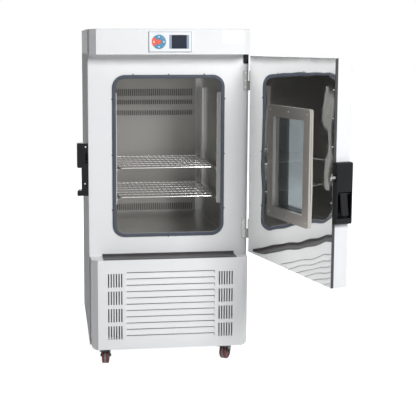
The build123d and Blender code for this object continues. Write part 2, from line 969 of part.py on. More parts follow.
def hook_pivot():
    """Pivot of the latch hook, for the closed door."""
    return y_door_in - hook_pivot_back, handle_levels()[3] - hook_drop


def handle():
    """Black handle on the door's free edge: housing with a finger pocket, lever and hook."""
    z_low, z_floor, z_roof, z_high = handle_levels()
    x = (door_left - handle_projection, door_left)
    y = (y_door_in - handle_width, y_door_in)
    housing = block(x, y, (z_low, z_high))
    housing = fillet(housing.edges().filter_by(Axis.Y).sort_by(Axis.X)[:2], handle_round)
    outer_edges = housing.edges().filter_by(Axis.Z).sort_by(Axis.X)[:2]
    housing = chamfer(outer_edges, handle_bevel)
    y_pocket = (y[0] + handle_wall, y[1] - handle_wall)
    housing -= block((x[0] - cut_margin, x[0] + pocket_depth), y_pocket, (z_floor, z_roof))
    x_hook = door_left - hook_inset
    y_pivot, z_pivot = hook_pivot()
    half = hook_thickness / 2 + slot_clearance
    room = hook_height + hook_nose
    y_room = (y_pivot - hook_height, y[1] + cut_margin)
    z_room = (z_pivot - room, z_pivot + hook_height)
    housing -= block((x_hook - half, x_hook + half), y_room, z_room)
    housing += rod((x_hook - half, y_pivot, z_pivot), "X", hook_pivot_radius, 2 * half)
    y_mid = (y[0] + y[1]) / 2
    x_pivot = x[0] + pocket_depth / 2
    z_axis = z_roof - lever_pivot_drop
    axle_start = (x_pivot, y_pocket[0], z_axis)
    axle = rod(axle_start, "Y", lever_pivot_radius, handle_width - 2 * handle_wall)
    save("handle_housing", open_door(housing + axle))

    lever = block(
        (x_pivot - lever_thickness / 2, x_pivot + lever_thickness / 2),
        (y_mid - lever_width / 2, y_mid + lever_width / 2),
        (z_axis - lever_height + lever_pivot_drop, z_axis),
    )
    lever = chamfer(lever.edges().filter_by(Axis.Z), lever_bevel)
    lever += bar((x_pivot, y_mid - lever_width / 2, z_axis), "Y", lever_thickness / 2, lever_width, rod_sides)
    bore_radius = lever_pivot_radius + running_clearance
    lever -= rod((x_pivot, y_mid - lever_width, z_axis), "Y", bore_radius, 2 * lever_width)
    lever = lever.rotate(Axis((x_pivot, y_mid, z_axis), (0, 1, 0)), lever_tilt)
    save("handle_lever", open_door(lever))

    y_tip = y_door_in + hook_reach
    y_heel = y_pivot - hook_height / 2
    z_arm = (z_pivot - hook_height / 2, z_pivot + hook_height / 2)
    profile = [
        (y_heel, z_arm[0]),
        (y_tip - hook_nose_length, z_arm[0]),
        (y_tip - hook_nose_length, z_arm[0] - hook_nose),
        (y_tip, z_arm[0] - hook_nose),
        (y_tip, z_pivot),
        (y_tip - hook_nose_length, z_arm[1]),
        (y_heel, z_arm[1]),
    ]
    arm = prism_x(profile, x_hook - hook_thickness / 2, x_hook + hook_thickness / 2)
    hook_bore = hook_pivot_radius + running_clearance
    arm -= rod((x_hook - hook_thickness, y_pivot, z_pivot), "X", hook_bore, 2 * hook_thickness)
    save("latch_hook", open_door(arm))


def latch_strike():
    """Strike on the cabinet's left side: block with a slot and keeper pin, neck and foot."""
    z = z_door + strike_rise
    x_wall = -half_width
    x_out = -half_width - strike_projection
    y = (y_frame, y_frame + strike_depth)
    z_block = z + strike_height - strike_block
    upper = block((x_out, x_wall), y, (z_block, z + strike_height))
    upper = fillet(upper.edges().filter_by(Axis.Y).sort_by(Axis.X)[:2], strike_round)
    neck = block((x_wall - strike_neck, x_wall), y, (z, z_block))
    foot = block((x_out, x_wall), y, (z, z + strike_foot))
    foot_corner_edge = foot.edges().filter_by(Axis.Y).sort_by(Axis.X)[:2].sort_by(Axis.Z)[-1]
    foot = fillet(foot_corner_edge, strike_foot / 2)
    strike = upper + neck + foot
    x_hook = door_left - hook_inset
    y_pivot, z_pivot = hook_pivot()
    half = hook_thickness / 2 + slot_clearance
    y_tip = y_door_in + hook_reach
    room = hook_height + 2 * hook_nose
    y_slot = (y_frame - cut_margin, y_tip + hook_nose)
    strike -= block((x_hook - half, x_hook + half), y_slot, (z_pivot - room, z_pivot + 2 * hook_height))
    y_keeper = y_tip - hook_nose_length - keeper_radius - keeper_clearance
    z_keeper = z_pivot - hook_height / 2 - hook_nose - keeper_radius - keeper_gap
    strike += rod((x_hook - half, y_keeper, z_keeper), "X", keeper_radius, 2 * half)
    save("latch_strike", strike)


def caster_plates():
    """Top plates and kingpins of the four casters."""
    pieces = []
    for name in caster_turns:
        x, y = caster_place(name)
        z = caster_height - plate_thickness
        half = plate_size / 2
        plate = block((x - half, x + half), (y - half, y + half), (z, caster_height))
        pieces.append(plate + rod((x, y, z - race_height), "Z", kingpin_radius, race_height))
    save("caster_plates", *pieces)


def caster_place(name):
    """Plan position of a caster's swivel axis."""
    return (
        caster_x if name.endswith("right") else -caster_x,
        -caster_y if name.startswith("front") else caster_y,
    )


def caster(name):
    """Swivel caster: fork with its axle, wheel and, where it has one, a brake pedal."""
    place = Pos(*caster_place(name), 0) * Rot(0, 0, caster_turns[name])
    z_race = caster_height - plate_thickness - swivel_gap
    z_crown = z_race - race_height
    half = fork_gap / 2
    fork = bar((0, 0, z_crown), "Z", race_radius, race_height, round_sides)
    king_bore = kingpin_radius + running_clearance
    fork -= rod((0, 0, z_crown), "Z", king_bore, race_height + cut_margin)
    x_nose = trail + fork_length / 2
    reach = half + fork_wall
    fork += block((-race_radius, x_nose), (-reach, reach), (z_crown - crown_thickness, z_crown))
    for side in (-1, 1):
        y = sorted((side * half, side * (half + fork_wall)))
        leg = [
            (-race_radius, z_crown - crown_thickness),
            (x_nose, z_crown - crown_thickness),
            (trail + nut_radius, wheel_radius - nut_radius),
            (trail - nut_radius, wheel_radius - nut_radius),
        ]
        plane = Plane((0, y[1], 0), x_dir=(1, 0, 0), z_dir=(0, -1, 0))
        fork += extrude(plane * make_face(Polyline(*leg, close=True)), y[1] - y[0])
    fork += rod((trail, -half, wheel_radius), "Y", axle_radius, fork_gap)
    for y in (-reach - nut_height, reach):
        fork += bar((trail, y, wheel_radius), "Y", nut_radius, nut_height, nut_sides)
    save(f"caster_fork_{name}", place * fork)

    tread = Rot(0, 0, 180 / wheel_sides) * RegularPolygon(wheel_radius, wheel_sides, major_radius=False)
    wheel = Pos(0, 0, -wheel_width / 2) * extrude(tread, wheel_width)
    for face in (wheel.faces().sort_by(Axis.Z)[0], wheel.faces().sort_by(Axis.Z)[-1]):
        wheel = chamfer(face.edges(), wheel_bevel)
    wheel -= Cylinder(axle_radius + running_clearance, 2 * wheel_width)
    save(f"caster_wheel_{name}", place * Pos(trail, 0, wheel_radius) * TURNS["Y"] * wheel)

    if name in braked:
        x_hinge = x_nose + pedal_gap + pedal_thickness
        z_hinge = z_crown - pedal_thickness
        pedal = bar((x_hinge, -pedal_width / 2, z_hinge), "Y", pedal_thickness, pedal_width, rod_sides)
        paddle = block((0, pedal_length), (-pedal_width / 2, pedal_width / 2), (-pedal_thickness, 0))
        pedal += Pos(x_hinge, 0, z_hinge + pedal_thickness / 2) * Rot(0, pedal_travel, 0) * paddle
        save(f"brake_pedal_{name}", place * pedal)


def control_box():
    """Electronics tray on the insulated roof, behind the fascia."""
    half = control_width / 2
    y = (y_frame + skin, y_frame + skin + control_depth)
    save("control_box", block((-half, half), y, (z_foam_top, z_foam_top + control_height)))


def power_inlet():
    """Mains inlet on the back, with its socket recess."""
    z = caster_height + inlet_rise
    half = inlet_width / 2
    y_outer = y_back + inlet_depth
    body = block((inlet_x - half, inlet_x + half), (y_back, y_outer), (z, z + inlet_height))
    body -= block(
        (inlet_x - half + inlet_wall, inlet_x + half - inlet_wall),
        (y_back + inlet_wall / 2, y_outer + cut_margin),
        (z + inlet_wall, z + inlet_height - inlet_wall),
    )
    save("power_inlet", body)


os.makedirs("parts", exist_ok=True)
side_panels()
back_panel()
top_panel()
top_fascia()
front_frame()
opening_gasket()
chamber_liner()
insulation()
drip_gutter()
rear_duct_panel()
shelf_standards()
shelf_runners()
for shelf_name, shelf_level in shelf_levels.items():
    shelf(shelf_name, shelf_level)
air_plant()
fans()
cooling_plant()
base_frame()
lower_grille_panel()
controller()
door_switch()
door_shell()
door_window()
hinges()
handle()
latch_strike()
caster_plates()
for caster_name in caster_turns:
    caster(caster_name)
control_box()
power_inlet()
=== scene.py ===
# %% [markdown]
# # A refrigerated incubator, dressed for its portrait
# The cabinet was modelled as plain solids first. This lesson gives those solids their paint,
# steel, rubber and glass, and adds the fine pieces that solids are too heavy for. Every length is
# in metres, X runs to the viewer's right, Y runs from front to back, and Z is up.

import json
from math import cos, pi, radians, sin

import bmesh
import bpy
from mathutils import Matrix, Vector


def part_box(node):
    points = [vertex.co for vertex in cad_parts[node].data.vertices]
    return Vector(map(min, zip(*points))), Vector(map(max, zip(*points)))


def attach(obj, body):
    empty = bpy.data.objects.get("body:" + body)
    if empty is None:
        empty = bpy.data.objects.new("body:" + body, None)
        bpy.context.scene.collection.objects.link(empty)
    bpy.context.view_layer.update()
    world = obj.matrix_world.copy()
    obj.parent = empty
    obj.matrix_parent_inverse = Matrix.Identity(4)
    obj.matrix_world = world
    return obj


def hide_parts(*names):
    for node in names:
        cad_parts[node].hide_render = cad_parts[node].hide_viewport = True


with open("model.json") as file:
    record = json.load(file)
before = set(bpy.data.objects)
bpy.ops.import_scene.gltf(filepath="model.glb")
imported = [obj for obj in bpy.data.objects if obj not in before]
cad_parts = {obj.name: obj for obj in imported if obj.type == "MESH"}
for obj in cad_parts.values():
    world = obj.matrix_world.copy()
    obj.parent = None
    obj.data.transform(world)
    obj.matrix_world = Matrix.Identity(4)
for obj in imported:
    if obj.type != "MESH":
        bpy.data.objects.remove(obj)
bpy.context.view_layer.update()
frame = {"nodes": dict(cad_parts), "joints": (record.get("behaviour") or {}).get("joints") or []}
nodes = frame["nodes"]

# %% [markdown]
# ## Node helpers
# A material is a small circuit. It could be wired by hand in the shader editor, but a script gives
# the same result each run. Writing each node with its inputs in one call keeps the circuit
# readable: an input that is given another node's output is wired, and any other is a set value.

# %% One node in one call
def put(tree, kind, inputs=None, **settings):
    """Adds a node; inputs maps a socket to a value or to another node's output."""
    node = tree.nodes.new(kind)
    for key, value in settings.items():
        setattr(node, key, value)
    for key, value in (inputs or {}).items():
        if isinstance(value, bpy.types.NodeSocket):
            tree.links.new(value, node.inputs[key])
        else:
            node.inputs[key].default_value = value
    return node


print("node helper ready")

# %% An empty node group
def new_group(name, inputs, outputs):
    """A node group with a Place input, named float inputs and named float outputs."""
    tree = bpy.data.node_groups.new(name, "ShaderNodeTree")
    tree.interface.new_socket("Place", in_out="INPUT", socket_type="NodeSocketVector")
    for label, value in inputs.items():
        socket = tree.interface.new_socket(label, in_out="INPUT", socket_type="NodeSocketFloat")
        socket.default_value = value
    for label in outputs:
        tree.interface.new_socket(label, in_out="OUTPUT", socket_type="NodeSocketFloat")
    return tree, tree.nodes.new("NodeGroupInput").outputs, tree.nodes.new("NodeGroupOutput").inputs


print("group helper ready")

# %% [markdown]
# ## Surface grain
# Powder coat, moulded plastic and cast metal all have a fine, even grain. Rolled or brushed steel
# has the same grain pulled out into long lines. Each finish could have its own noise, but both
# looks are one noise, so one group serves them all: its stretch inputs squeeze the noise across
# the lines. A broad noise is blended in, because no large sheet is quite even.

# %% Grain group
grain_group, given, out = new_group(
    "Surface grain",
    {"Scale": 900.0, "Stretch X": 1.0, "Stretch Y": 1.0, "Stretch Z": 1.0},
    ["Shade", "Height"],
)
stretch = put(grain_group, "ShaderNodeCombineXYZ",
              {"X": given["Stretch X"], "Y": given["Stretch Y"], "Z": given["Stretch Z"]})
placed = put(grain_group, "ShaderNodeVectorMath",
             {0: given["Place"], 1: stretch.outputs[0]}, operation="MULTIPLY")
fine = put(grain_group, "ShaderNodeTexNoise",
           {"Vector": placed.outputs[0], "Scale": given["Scale"], "Detail": 4.0, "Roughness": 0.6})
broad = put(grain_group, "ShaderNodeTexNoise",
            {"Vector": given["Place"], "Scale": 5.0, "Detail": 3.0, "Roughness": 0.5})
blend = put(grain_group, "ShaderNodeMath",
            {0: fine.outputs["Fac"], 1: broad.outputs["Fac"]}, operation="ADD")
half = put(grain_group, "ShaderNodeMath", {0: blend.outputs[0], 1: 0.5}, operation="MULTIPLY")
grain_group.links.new(half.outputs[0], out["Shade"])
grain_group.links.new(fine.outputs["Fac"], out["Height"])
print("grain group has", len(grain_group.nodes), "nodes")

# %% [markdown]
# ## Handling film
# Hands and dust dull a surface in soft, uneven patches, most of all where it faces up. The film
# could be painted on each piece, but a noise that grows stronger with the upward part of the
# surface normal puts it in the right places on every piece at once.

# %% Film group
film_group, given, out = new_group("Handling film", {"Scale": 3.0, "Amount": 0.3}, ["Mask"])
patches = put(film_group, "ShaderNodeTexNoise",
              {"Vector": given["Place"], "Scale": given["Scale"], "Detail": 6.0, "Roughness": 0.65})
spread = put(film_group, "ShaderNodeMapRange",
             {"Value": patches.outputs["Fac"], "From Min": 0.42, "From Max": 0.75,
              "To Min": 0.0, "To Max": 1.0})
surface = put(film_group, "ShaderNodeNewGeometry")
upward = put(film_group, "ShaderNodeSeparateXYZ", {0: surface.outputs["Normal"]})
settled = put(film_group, "ShaderNodeMapRange",
              {"Value": upward.outputs["Z"], "From Min": 0.5, "From Max": 1.0,
               "To Min": 0.6, "To Max": 1.0})
both = put(film_group, "ShaderNodeMath",
           {0: spread.outputs[0], 1: settled.outputs[0]}, operation="MULTIPLY")
share = put(film_group, "ShaderNodeMath",
            {0: both.outputs[0], 1: given["Amount"]}, operation="MULTIPLY")
film_group.links.new(share.outputs[0], out["Mask"])
print("film group has", len(film_group.nodes), "nodes")

# %% [markdown]
# ## Finishes
# A finish is one Principled shader fed by the two groups. The two tones of a finish differ only a
# little, as paint from one can does, and the roughness wanders with them so that highlights break
# up. The relief is a bump, given in millimetres. Anything that is the same all over a surface,
# such as how metallic it is, is set on the shader itself.

# %% A finish from two tones
DUST = (0.45, 0.44, 0.42)
ROUGH_WANDER = 0.15
FILM_DULLING = 0.4


def finish(name, tone, second, rough, metal=0.0, scale=900.0, stretch=(1, 1, 1), relief=0.02,
           film=0.15, clear=0.0, specular=0.5):
    """Two tones, varying roughness, relief in millimetres and a film of handling."""
    made = bpy.data.materials.new(name)
    made.use_nodes = True
    tree = made.node_tree
    shader = tree.nodes["Principled BSDF"]
    place = put(tree, "ShaderNodeTexCoord").outputs["Object"]
    grain = put(tree, "ShaderNodeGroup", node_tree=grain_group)
    for key, value in zip(("Scale", "Stretch X", "Stretch Y", "Stretch Z"), (scale, *stretch)):
        grain.inputs[key].default_value = value
    tree.links.new(place, grain.inputs["Place"])
    dirt = put(tree, "ShaderNodeGroup", node_tree=film_group)
    dirt.inputs["Amount"].default_value = film
    tree.links.new(place, dirt.inputs["Place"])
    tones = put(tree, "ShaderNodeMix",
                {0: grain.outputs["Shade"], 6: (*tone, 1), 7: (*second, 1)}, data_type="RGBA")
    worn = put(tree, "ShaderNodeMix",
               {0: dirt.outputs["Mask"], 6: tones.outputs[2], 7: (*DUST, 1)}, data_type="RGBA")
    tree.links.new(worn.outputs[2], shader.inputs["Base Color"])
    gloss = put(tree, "ShaderNodeMapRange",
                {"Value": grain.outputs["Shade"],
                 "To Min": rough * (1 - ROUGH_WANDER), "To Max": rough * (1 + ROUGH_WANDER)})
    dull = put(tree, "ShaderNodeMath",
               {0: dirt.outputs["Mask"], 1: FILM_DULLING}, operation="MULTIPLY")
    total = put(tree, "ShaderNodeMath", {0: gloss.outputs[0], 1: dull.outputs[0]}, operation="ADD")
    tree.links.new(total.outputs[0], shader.inputs["Roughness"])
    bump = put(tree, "ShaderNodeBump",
               {"Height": grain.outputs["Height"], "Strength": 0.5, "Distance": relief / 1000})
    tree.links.new(bump.outputs[0], shader.inputs["Normal"])
    shader.inputs["Metallic"].default_value = metal
    shader.inputs["Specular IOR Level"].default_value = specular
    shader.inputs["Transmission Weight"].default_value = clear
    return made


print("finish helper ready")

# %% [markdown]
# ## Painted sheet
# The cabinet is folded steel sheet under an off-white powder coat with a faint orange-peel grain.
# One paint could serve it all, but the real sides are seen at a glancing angle and look matt there,
# and the door's outer tray takes the light full on. Three whites that differ a little keep each of
# them near its real tone under this light: the sides' white is rougher and a touch darker, and the
# door's white is darker still, both as painted shade on the one real paint. A grey one is for the
# tray that holds the electronics.

# %% Paints
white_paint = finish("White powder coat", (0.80, 0.81, 0.82), (0.76, 0.77, 0.785), rough=0.48,
                     scale=700, relief=0.05, film=0.04, specular=0.3)
# The door's white is the cabinet's paint made darker as painted shade, since its tray takes the
# light full on.
door_paint_shaded = finish("Door powder coat", (0.70, 0.71, 0.73), (0.665, 0.675, 0.695), rough=0.48,
                    scale=700, relief=0.05, film=0.04, specular=0.3)
# The sides' white is rougher, with less shine, and a touch darker than the cabinet's white as
# painted shade.
side_paint_shaded = finish("Side sheet paint", (0.78, 0.79, 0.80), (0.74, 0.75, 0.765), rough=0.65,
                    scale=700, relief=0.05, film=0.04, specular=0.1)
grey_paint = finish("Grey frame paint", (0.20, 0.21, 0.22), (0.16, 0.17, 0.18), rough=0.5,
                    relief=0.05)
print("four paints")

# %% [markdown]
# ## Steels
# The chamber is rolled stainless, the door's inner sheet is polished to a mirror, and the window's
# frame is brushed. They are one metal with different lines in it, so each is the same finish with
# its own stretch and roughness: the squeezed axis is the one that the lines run across. A metal
# takes its brightness from what it reflects, and the duct cover and the hinges face the bright
# room, so their tones are made darker than the chamber's walls as painted shade.

# %% Steel finishes
stainless = finish("Rolled stainless", (0.56, 0.56, 0.55), (0.44, 0.44, 0.43), rough=0.30,
                   metal=1.0, scale=260, stretch=(1, 1, 8), relief=0.01, film=0.12)
# The duct cover's steel is the chamber's stainless made darker as painted shade, for the unlit back
# of the chamber.
duct_steel_shaded = finish("Duct cover steel", (0.24, 0.236, 0.222), (0.19, 0.187, 0.176), rough=0.42,
                    metal=1.0, scale=260, stretch=(1, 1, 10), relief=0.01, film=0.1)
mirror = finish("Mirror-polished steel", (0.90, 0.90, 0.89), (0.86, 0.86, 0.85), rough=0.035,
                metal=1.0, scale=300, stretch=(1, 1, 8), relief=0.002, film=0.03)
brushed = finish("Brushed window frame", (0.60, 0.57, 0.53), (0.44, 0.42, 0.39), rough=0.34,
                 metal=1.0, scale=300, stretch=(14, 14, 1), relief=0.012)
wire_steel = finish("Polished shelf wire", (0.62, 0.61, 0.59), (0.50, 0.49, 0.47), rough=0.2,
                    metal=1.0, scale=400, relief=0.005, film=0.05)
zinc = finish("Zinc plate", (0.62, 0.62, 0.60), (0.46, 0.47, 0.46), rough=0.36,
              metal=1.0, scale=500, relief=0.01, film=0.2)
# The hinges' steel is made darker as painted shade, so that reflecting the bright room does not
# light it up.
hinge_steel_shaded = finish("Satin hinge steel", (0.36, 0.36, 0.355), (0.27, 0.27, 0.265), rough=0.30,
                     metal=1.0, scale=500, relief=0.01)
print("seven steels")

# %% [markdown]
# ## Rubber, plastics and keys
# The seal is blue-grey rubber, the handle and strike are moulded black plastic, and the controller
# is a white panel with a dark display and coloured keys. All could share a glossy default, but
# moulded black reflects little, so its specular level is low, or it would look grey here.

# %% Rubber and black plastics
seal = finish("Blue-grey seal rubber", (0.062, 0.074, 0.10), (0.048, 0.058, 0.08), rough=0.5,
              scale=1500, film=0.06, specular=0.3)
# This black is the real trim's colour, and it also fills the dark sheet behind the duct cover and
# the bars under the louvres, which are painted shade.
black_trim_and_shade = finish("Black trim", (0.018, 0.018, 0.02), (0.03, 0.03, 0.034), rough=0.42,
                    scale=1400, relief=0.03)
black_plastic = finish("Moulded black plastic", (0.007, 0.0075, 0.009), (0.011, 0.0115, 0.013),
                       rough=0.40, scale=1800, relief=0.04, film=0.02, specular=0.14)
gutter_plastic = finish("Gutter plastic", (0.03, 0.03, 0.033), (0.045, 0.041, 0.041), rough=0.35,
                        relief=0.03, film=0.12)
print("rubber and three black plastics")

# %% Controller and key colours
panel_white = finish("Controller panel", (0.82, 0.84, 0.86), (0.78, 0.80, 0.83), rough=0.35,
                     scale=1200, relief=0.01, film=0.03)
screen_glass = finish("Dark display", (0.010, 0.016, 0.030), (0.016, 0.024, 0.042), rough=0.20,
                      scale=2200, relief=0.002, film=0.03, specular=0.3)
border_blue = finish("Blue-grey border", (0.24, 0.31, 0.40), (0.21, 0.28, 0.37), rough=0.4,
                     scale=1500, relief=0.01, film=0.05)
key_blue = finish("Blue key", (0.045, 0.24, 0.42), (0.06, 0.28, 0.47), rough=0.4,
                  scale=1500, film=0.05)
key_red = finish("Red key", (0.72, 0.10, 0.055), (0.78, 0.13, 0.07), rough=0.4,
                 scale=1500, film=0.05)
mark_white = finish("Key mark", (0.80, 0.82, 0.84), (0.74, 0.76, 0.79), rough=0.45,
                    scale=1500, relief=0.01, film=0.05)
print("six controller finishes")

# %% [markdown]
# ## Casters, inner plant and glass
# The caster wheels are maroon in green-grey forks, with a grey-green band round the tread that is
# partly wear and partly a painted highlight. The foam, fins, compressor and fans are hidden while
# the cabinet is whole, but someone who takes it apart sees them, so they have finishes of their own.
# The window's glass is tinted a little, because two thick panes dim what lies behind them.

# %% Casters and foam
foam = finish("Insulation foam", (0.72, 0.60, 0.34), (0.62, 0.50, 0.27), rough=0.9,
              scale=350, relief=0.5, film=0.1)
wheel_tread = finish("Maroon wheel tread", (0.12, 0.006, 0.014), (0.09, 0.004, 0.01), rough=0.5,
                     relief=0.05, film=0.25)
# The pale band on the tread is partly wear and partly a painted highlight; the hub's bosses share
# its grey-green.
hub_and_highlight_band = finish("Grey-green wheel band", (0.20, 0.23, 0.20), (0.15, 0.18, 0.16), rough=0.5,
                   relief=0.03, film=0.3)
yoke_paint = finish("Green-grey caster paint", (0.055, 0.08, 0.072), (0.04, 0.06, 0.055),
                    rough=0.42, scale=700, relief=0.06, film=0.3)
print("foam and three caster finishes")

# %% Plant and window glass
fin_metal = finish("Heat exchanger fins", (0.16, 0.16, 0.16), (0.10, 0.10, 0.11), rough=0.4,
                   metal=1.0, scale=500, stretch=(40, 1, 1), relief=0.1, film=0.3)
compressor_black = finish("Compressor enamel", (0.02, 0.02, 0.022), (0.035, 0.035, 0.038),
                          rough=0.4, scale=500, relief=0.08, film=0.35)
copper = finish("Copper pipe", (0.70, 0.32, 0.18), (0.50, 0.21, 0.12), rough=0.35,
                metal=1.0, scale=500, relief=0.01, film=0.25)
fan_plastic = finish("Fan plastic", (0.10, 0.10, 0.105), (0.07, 0.07, 0.075), rough=0.5,
                     scale=1300, relief=0.03, film=0.3)
motor_paint = finish("Motor housing", (0.25, 0.26, 0.27), (0.18, 0.19, 0.20), rough=0.45,
                     metal=1.0, scale=600, relief=0.03, film=0.3)
window_glass = finish("Window glass", (0.58, 0.62, 0.635), (0.56, 0.60, 0.615), rough=0.03,
                      relief=0.001, film=0.02, clear=0.94)
print(len(bpy.data.materials), "materials in the file")

# %% [markdown]
# ## Dressing the solids
# A solid straight from a modeller has edges of no width, which never catch light. The rounds could
# be modelled in the solid, but they would cost it many faces. Here a weld joins its split corners,
# and a narrow bevel with weighted normals gives every edge the small round of folded sheet or a
# moulding. These are modifiers, so the solid itself is untouched.

# %% Paint and edge rounds for one solid
WELD_REACH = 0.00002
SHARP_ANGLE = radians(35)


def dress(name, material, edge, steps):
    """Gives a solid its material and, where edge isn't nought, small edge rounds."""
    solid = nodes[name]
    solid.data.materials.clear()
    solid.data.materials.append(material)
    if edge:
        solid.modifiers.new("Join corners", "WELD").merge_threshold = WELD_REACH
        rounds = solid.modifiers.new("Edge rounds", "BEVEL")
        rounds.width = edge
        rounds.segments = steps
        rounds.limit_method = "ANGLE"
        rounds.angle_limit = SHARP_ANGLE
        solid.modifiers.new("Even shading", "WEIGHTED_NORMAL")


print("dressing helper ready")

# %% What each solid wears
dressing = {
    side_paint_shaded: ["side_panel_left", "side_panel_right"],
    white_paint: ["back_panel", "top_panel", "top_fascia", "front_frame", "lower_grille_panel",
                  "base_frame"],
    door_paint_shaded: ["door_outer_skin"],
    grey_paint: ["control_box"],
    stainless: ["chamber_liner", "shelf_standards", "shelf_runners"],
    zinc: ["caster_plates"],
    hinge_steel_shaded: ["cabinet_hinges", "door_hinges", "latch_hook"],
    brushed: ["window_frame_inner"],
    seal: ["opening_gasket"],
    black_trim_and_shade: ["door_edge_trim", "power_inlet", "window_frame_outer"],
    black_plastic: ["handle_housing", "handle_lever", "latch_strike", "door_switch"],
    gutter_plastic: ["drip_gutter"],
    panel_white: ["controller_bezel"],
    screen_glass: ["controller_display"],
    key_blue: ["key_up", "key_down", "key_right"],
    key_red: ["key_left", "key_centre"],
    foam: ["insulation", "door_foam"],
    fin_metal: ["evaporator", "condenser", "air_heater", "temperature_probe"],
    compressor_black: ["compressor"],
    copper: ["refrigerant_lines"],
    fan_plastic: ["circulation_fan", "condenser_fan"],
    motor_paint: ["fan_motors"],
    window_glass: ["window_glass"],
    yoke_paint: [name for name in nodes if name.startswith(("caster_fork", "brake_pedal"))],
}
# Each edge is the width of its round and the number of steps in it.
SHEET_EDGE = (0.0008, 2)
special_edges = {
    "opening_gasket": (0.003, 4), "handle_housing": (0.002, 3), "handle_lever": (0.003, 4),
    "latch_strike": (0.0015, 3), "key_centre": (0.0006, 2), "window_glass": (0.0004, 1),
    "compressor": (0.004, 3), "insulation": (0, 0), "door_foam": (0, 0), "chamber_liner": (0, 0),
}
for material, names in dressing.items():
    for name in names:
        dress(name, material, *special_edges.get(name, SHEET_EDGE))
print("dressed", sum(len(names) for names in dressing.values()), "solids")

# %% [markdown]
# ## The door, shut and open
# The door stands open at rest, so none of its planes is square to an axis. Its pieces could be
# placed on those slanted planes, but it is simpler to draw them as if the door were shut and to turn
# them all about the hinge pin. The pin and the angle come from the door's own joint.

# %% The door's turn
door_hinge = next(joint for joint in frame["joints"] if joint["name"] == "door_hinge")
pin_x, pin_y = door_hinge["pos_m"][:2]
shut_angle = radians(door_hinge["range_deg"][0])
to_pin = Matrix.Translation((pin_x, pin_y, 0))
OPEN_DOOR = to_pin @ Matrix.Rotation(-shut_angle, 4, "Z") @ to_pin.inverted()
SHUT_DOOR = OPEN_DOOR.inverted()


def shut_box(name):
    """Lowest and highest corner of one of the door's solids, with the door shut."""
    corners = [SHUT_DOOR @ vertex.co for vertex in nodes[name].data.vertices]
    low = Vector([min(corner[axis] for corner in corners) for axis in range(3)])
    high = Vector([max(corner[axis] for corner in corners) for axis in range(3)])
    return low, high


sheet_low, sheet_high = shut_box("door_inner_panel")
glass_low, glass_high = shut_box("window_glass")
print("door sheet, shut:", [round(v, 4) for v in sheet_high - sheet_low])

# %% [markdown]
# ## Making new pieces
# The new pieces could be modelled by hand in edit mode, but in code each corner can be measured
# from the frame, and follows it when it changes. Small helpers do what repeats: one turns a mesh
# into a painted piece that moves with its body, two add boxes for flat trim, and a lathe makes what
# is turned.

# %% Finished piece from a mesh
def piece(name, mesh, material, body, stands_for=(), smooth=True, place=None):
    """Makes an object from a bmesh, paints it and fixes it to a body."""
    data = bpy.data.meshes.new(name)
    bmesh.ops.recalc_face_normals(mesh, faces=mesh.faces)
    mesh.to_mesh(data)
    mesh.free()
    if place:
        data.transform(place)
    data.materials.append(material)
    data.polygons.foreach_set("use_smooth", [smooth] * len(data.polygons))
    made = bpy.data.objects.new(name, data)
    bpy.context.scene.collection.objects.link(made)
    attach(made, body)
    if stands_for:
        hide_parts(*stands_for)
    return made


print("piece helper ready")

# %% Boxes and turned shapes
def box_in(mesh, low, high):
    """Adds a box between two corners."""
    for corner in bmesh.ops.create_cube(mesh, size=1.0)["verts"]:
        for axis in range(3):
            corner.co[axis] = high[axis] if corner.co[axis] > 0 else low[axis]


def border_in(mesh, low, high, width):
    """Adds four bars just inside the edge of an upright rectangle."""
    box_in(mesh, low, (low[0] + width, high[1], high[2]))
    box_in(mesh, (high[0] - width, low[1], low[2]), high)
    box_in(mesh, (low[0] + width, low[1], low[2]), (high[0] - width, high[1], low[2] + width))
    box_in(mesh, (low[0] + width, low[1], high[2] - width), (high[0] - width, high[1], high[2]))


def lathe(mesh, profile, place, steps=48):
    """Turns a profile of (radius, height) points about the Z axis of place, and caps its ends."""
    rings = []
    for radius, height in profile:
        ring = []
        for step in range(steps):
            angle = 2 * pi * step / steps
            corner = Vector((radius * cos(angle), radius * sin(angle), height))
            ring.append(mesh.verts.new(place @ corner))
        rings.append(ring)
    for low, high in zip(rings, rings[1:]):
        for step in range(steps):
            after = (step + 1) % steps
            mesh.faces.new((low[step], low[after], high[after], high[step]))
    mesh.faces.new(rings[0])
    mesh.faces.new(rings[-1])


print("shape helpers ready")

# %% [markdown]
# ## Mirror sheet on the door
# The door's inner face is one sheet of mirror-polished steel, and what makes it read as sheet is
# that the reflections wander. A bump map could bend them, but the mesh itself would stay flat. A
# grid with real waves of about half a millimetre bends them in every view and is part of the shape
# itself. The waves are shallow enough to stay clear of the seal when the door shuts. Cells inside
# the window are left out.

# %% Depth of the waves
WAVE = 0.00022
# Three crossing swells: share of the depth, turn per metre across and up, and start.
SWELLS = [(1.0, 17, 9, 0.0), (0.7, -8, 31, 1.3), (0.5, 47, 21, 0.4)]
CALM_MARGIN = 0.05


def wave(x, z):
    """Depth of the sheet's waves, which fade to nothing at its fixed edges."""
    swell = sum(share * sin(across * x + up * z + start) for share, across, up, start in SWELLS)
    margin = min(x - sheet_low.x, sheet_high.x - x, z - sheet_low.z, sheet_high.z - z)
    return WAVE * swell * min(1.0, margin / CALM_MARGIN)


deepest = WAVE * sum(share for share, *_ in SWELLS)
print("waves are at most", round(deepest * 1000, 2), "mm deep")

# %% The wavy sheet
SHEET_CELL = 0.012
SHEET_SET_BACK = 0.0005
WINDOW_SLEEVE = 0.0015


def cuts(low, high, *stops):
    """Evenly spaced cuts from low to high that also land on each stop."""
    marks = [low, *stops, high]
    values = []
    for start, end in zip(marks, marks[1:]):
        count = max(1, round((end - start) / SHEET_CELL))
        values += [start + (end - start) * index / count for index in range(count)]
    return values + [high]


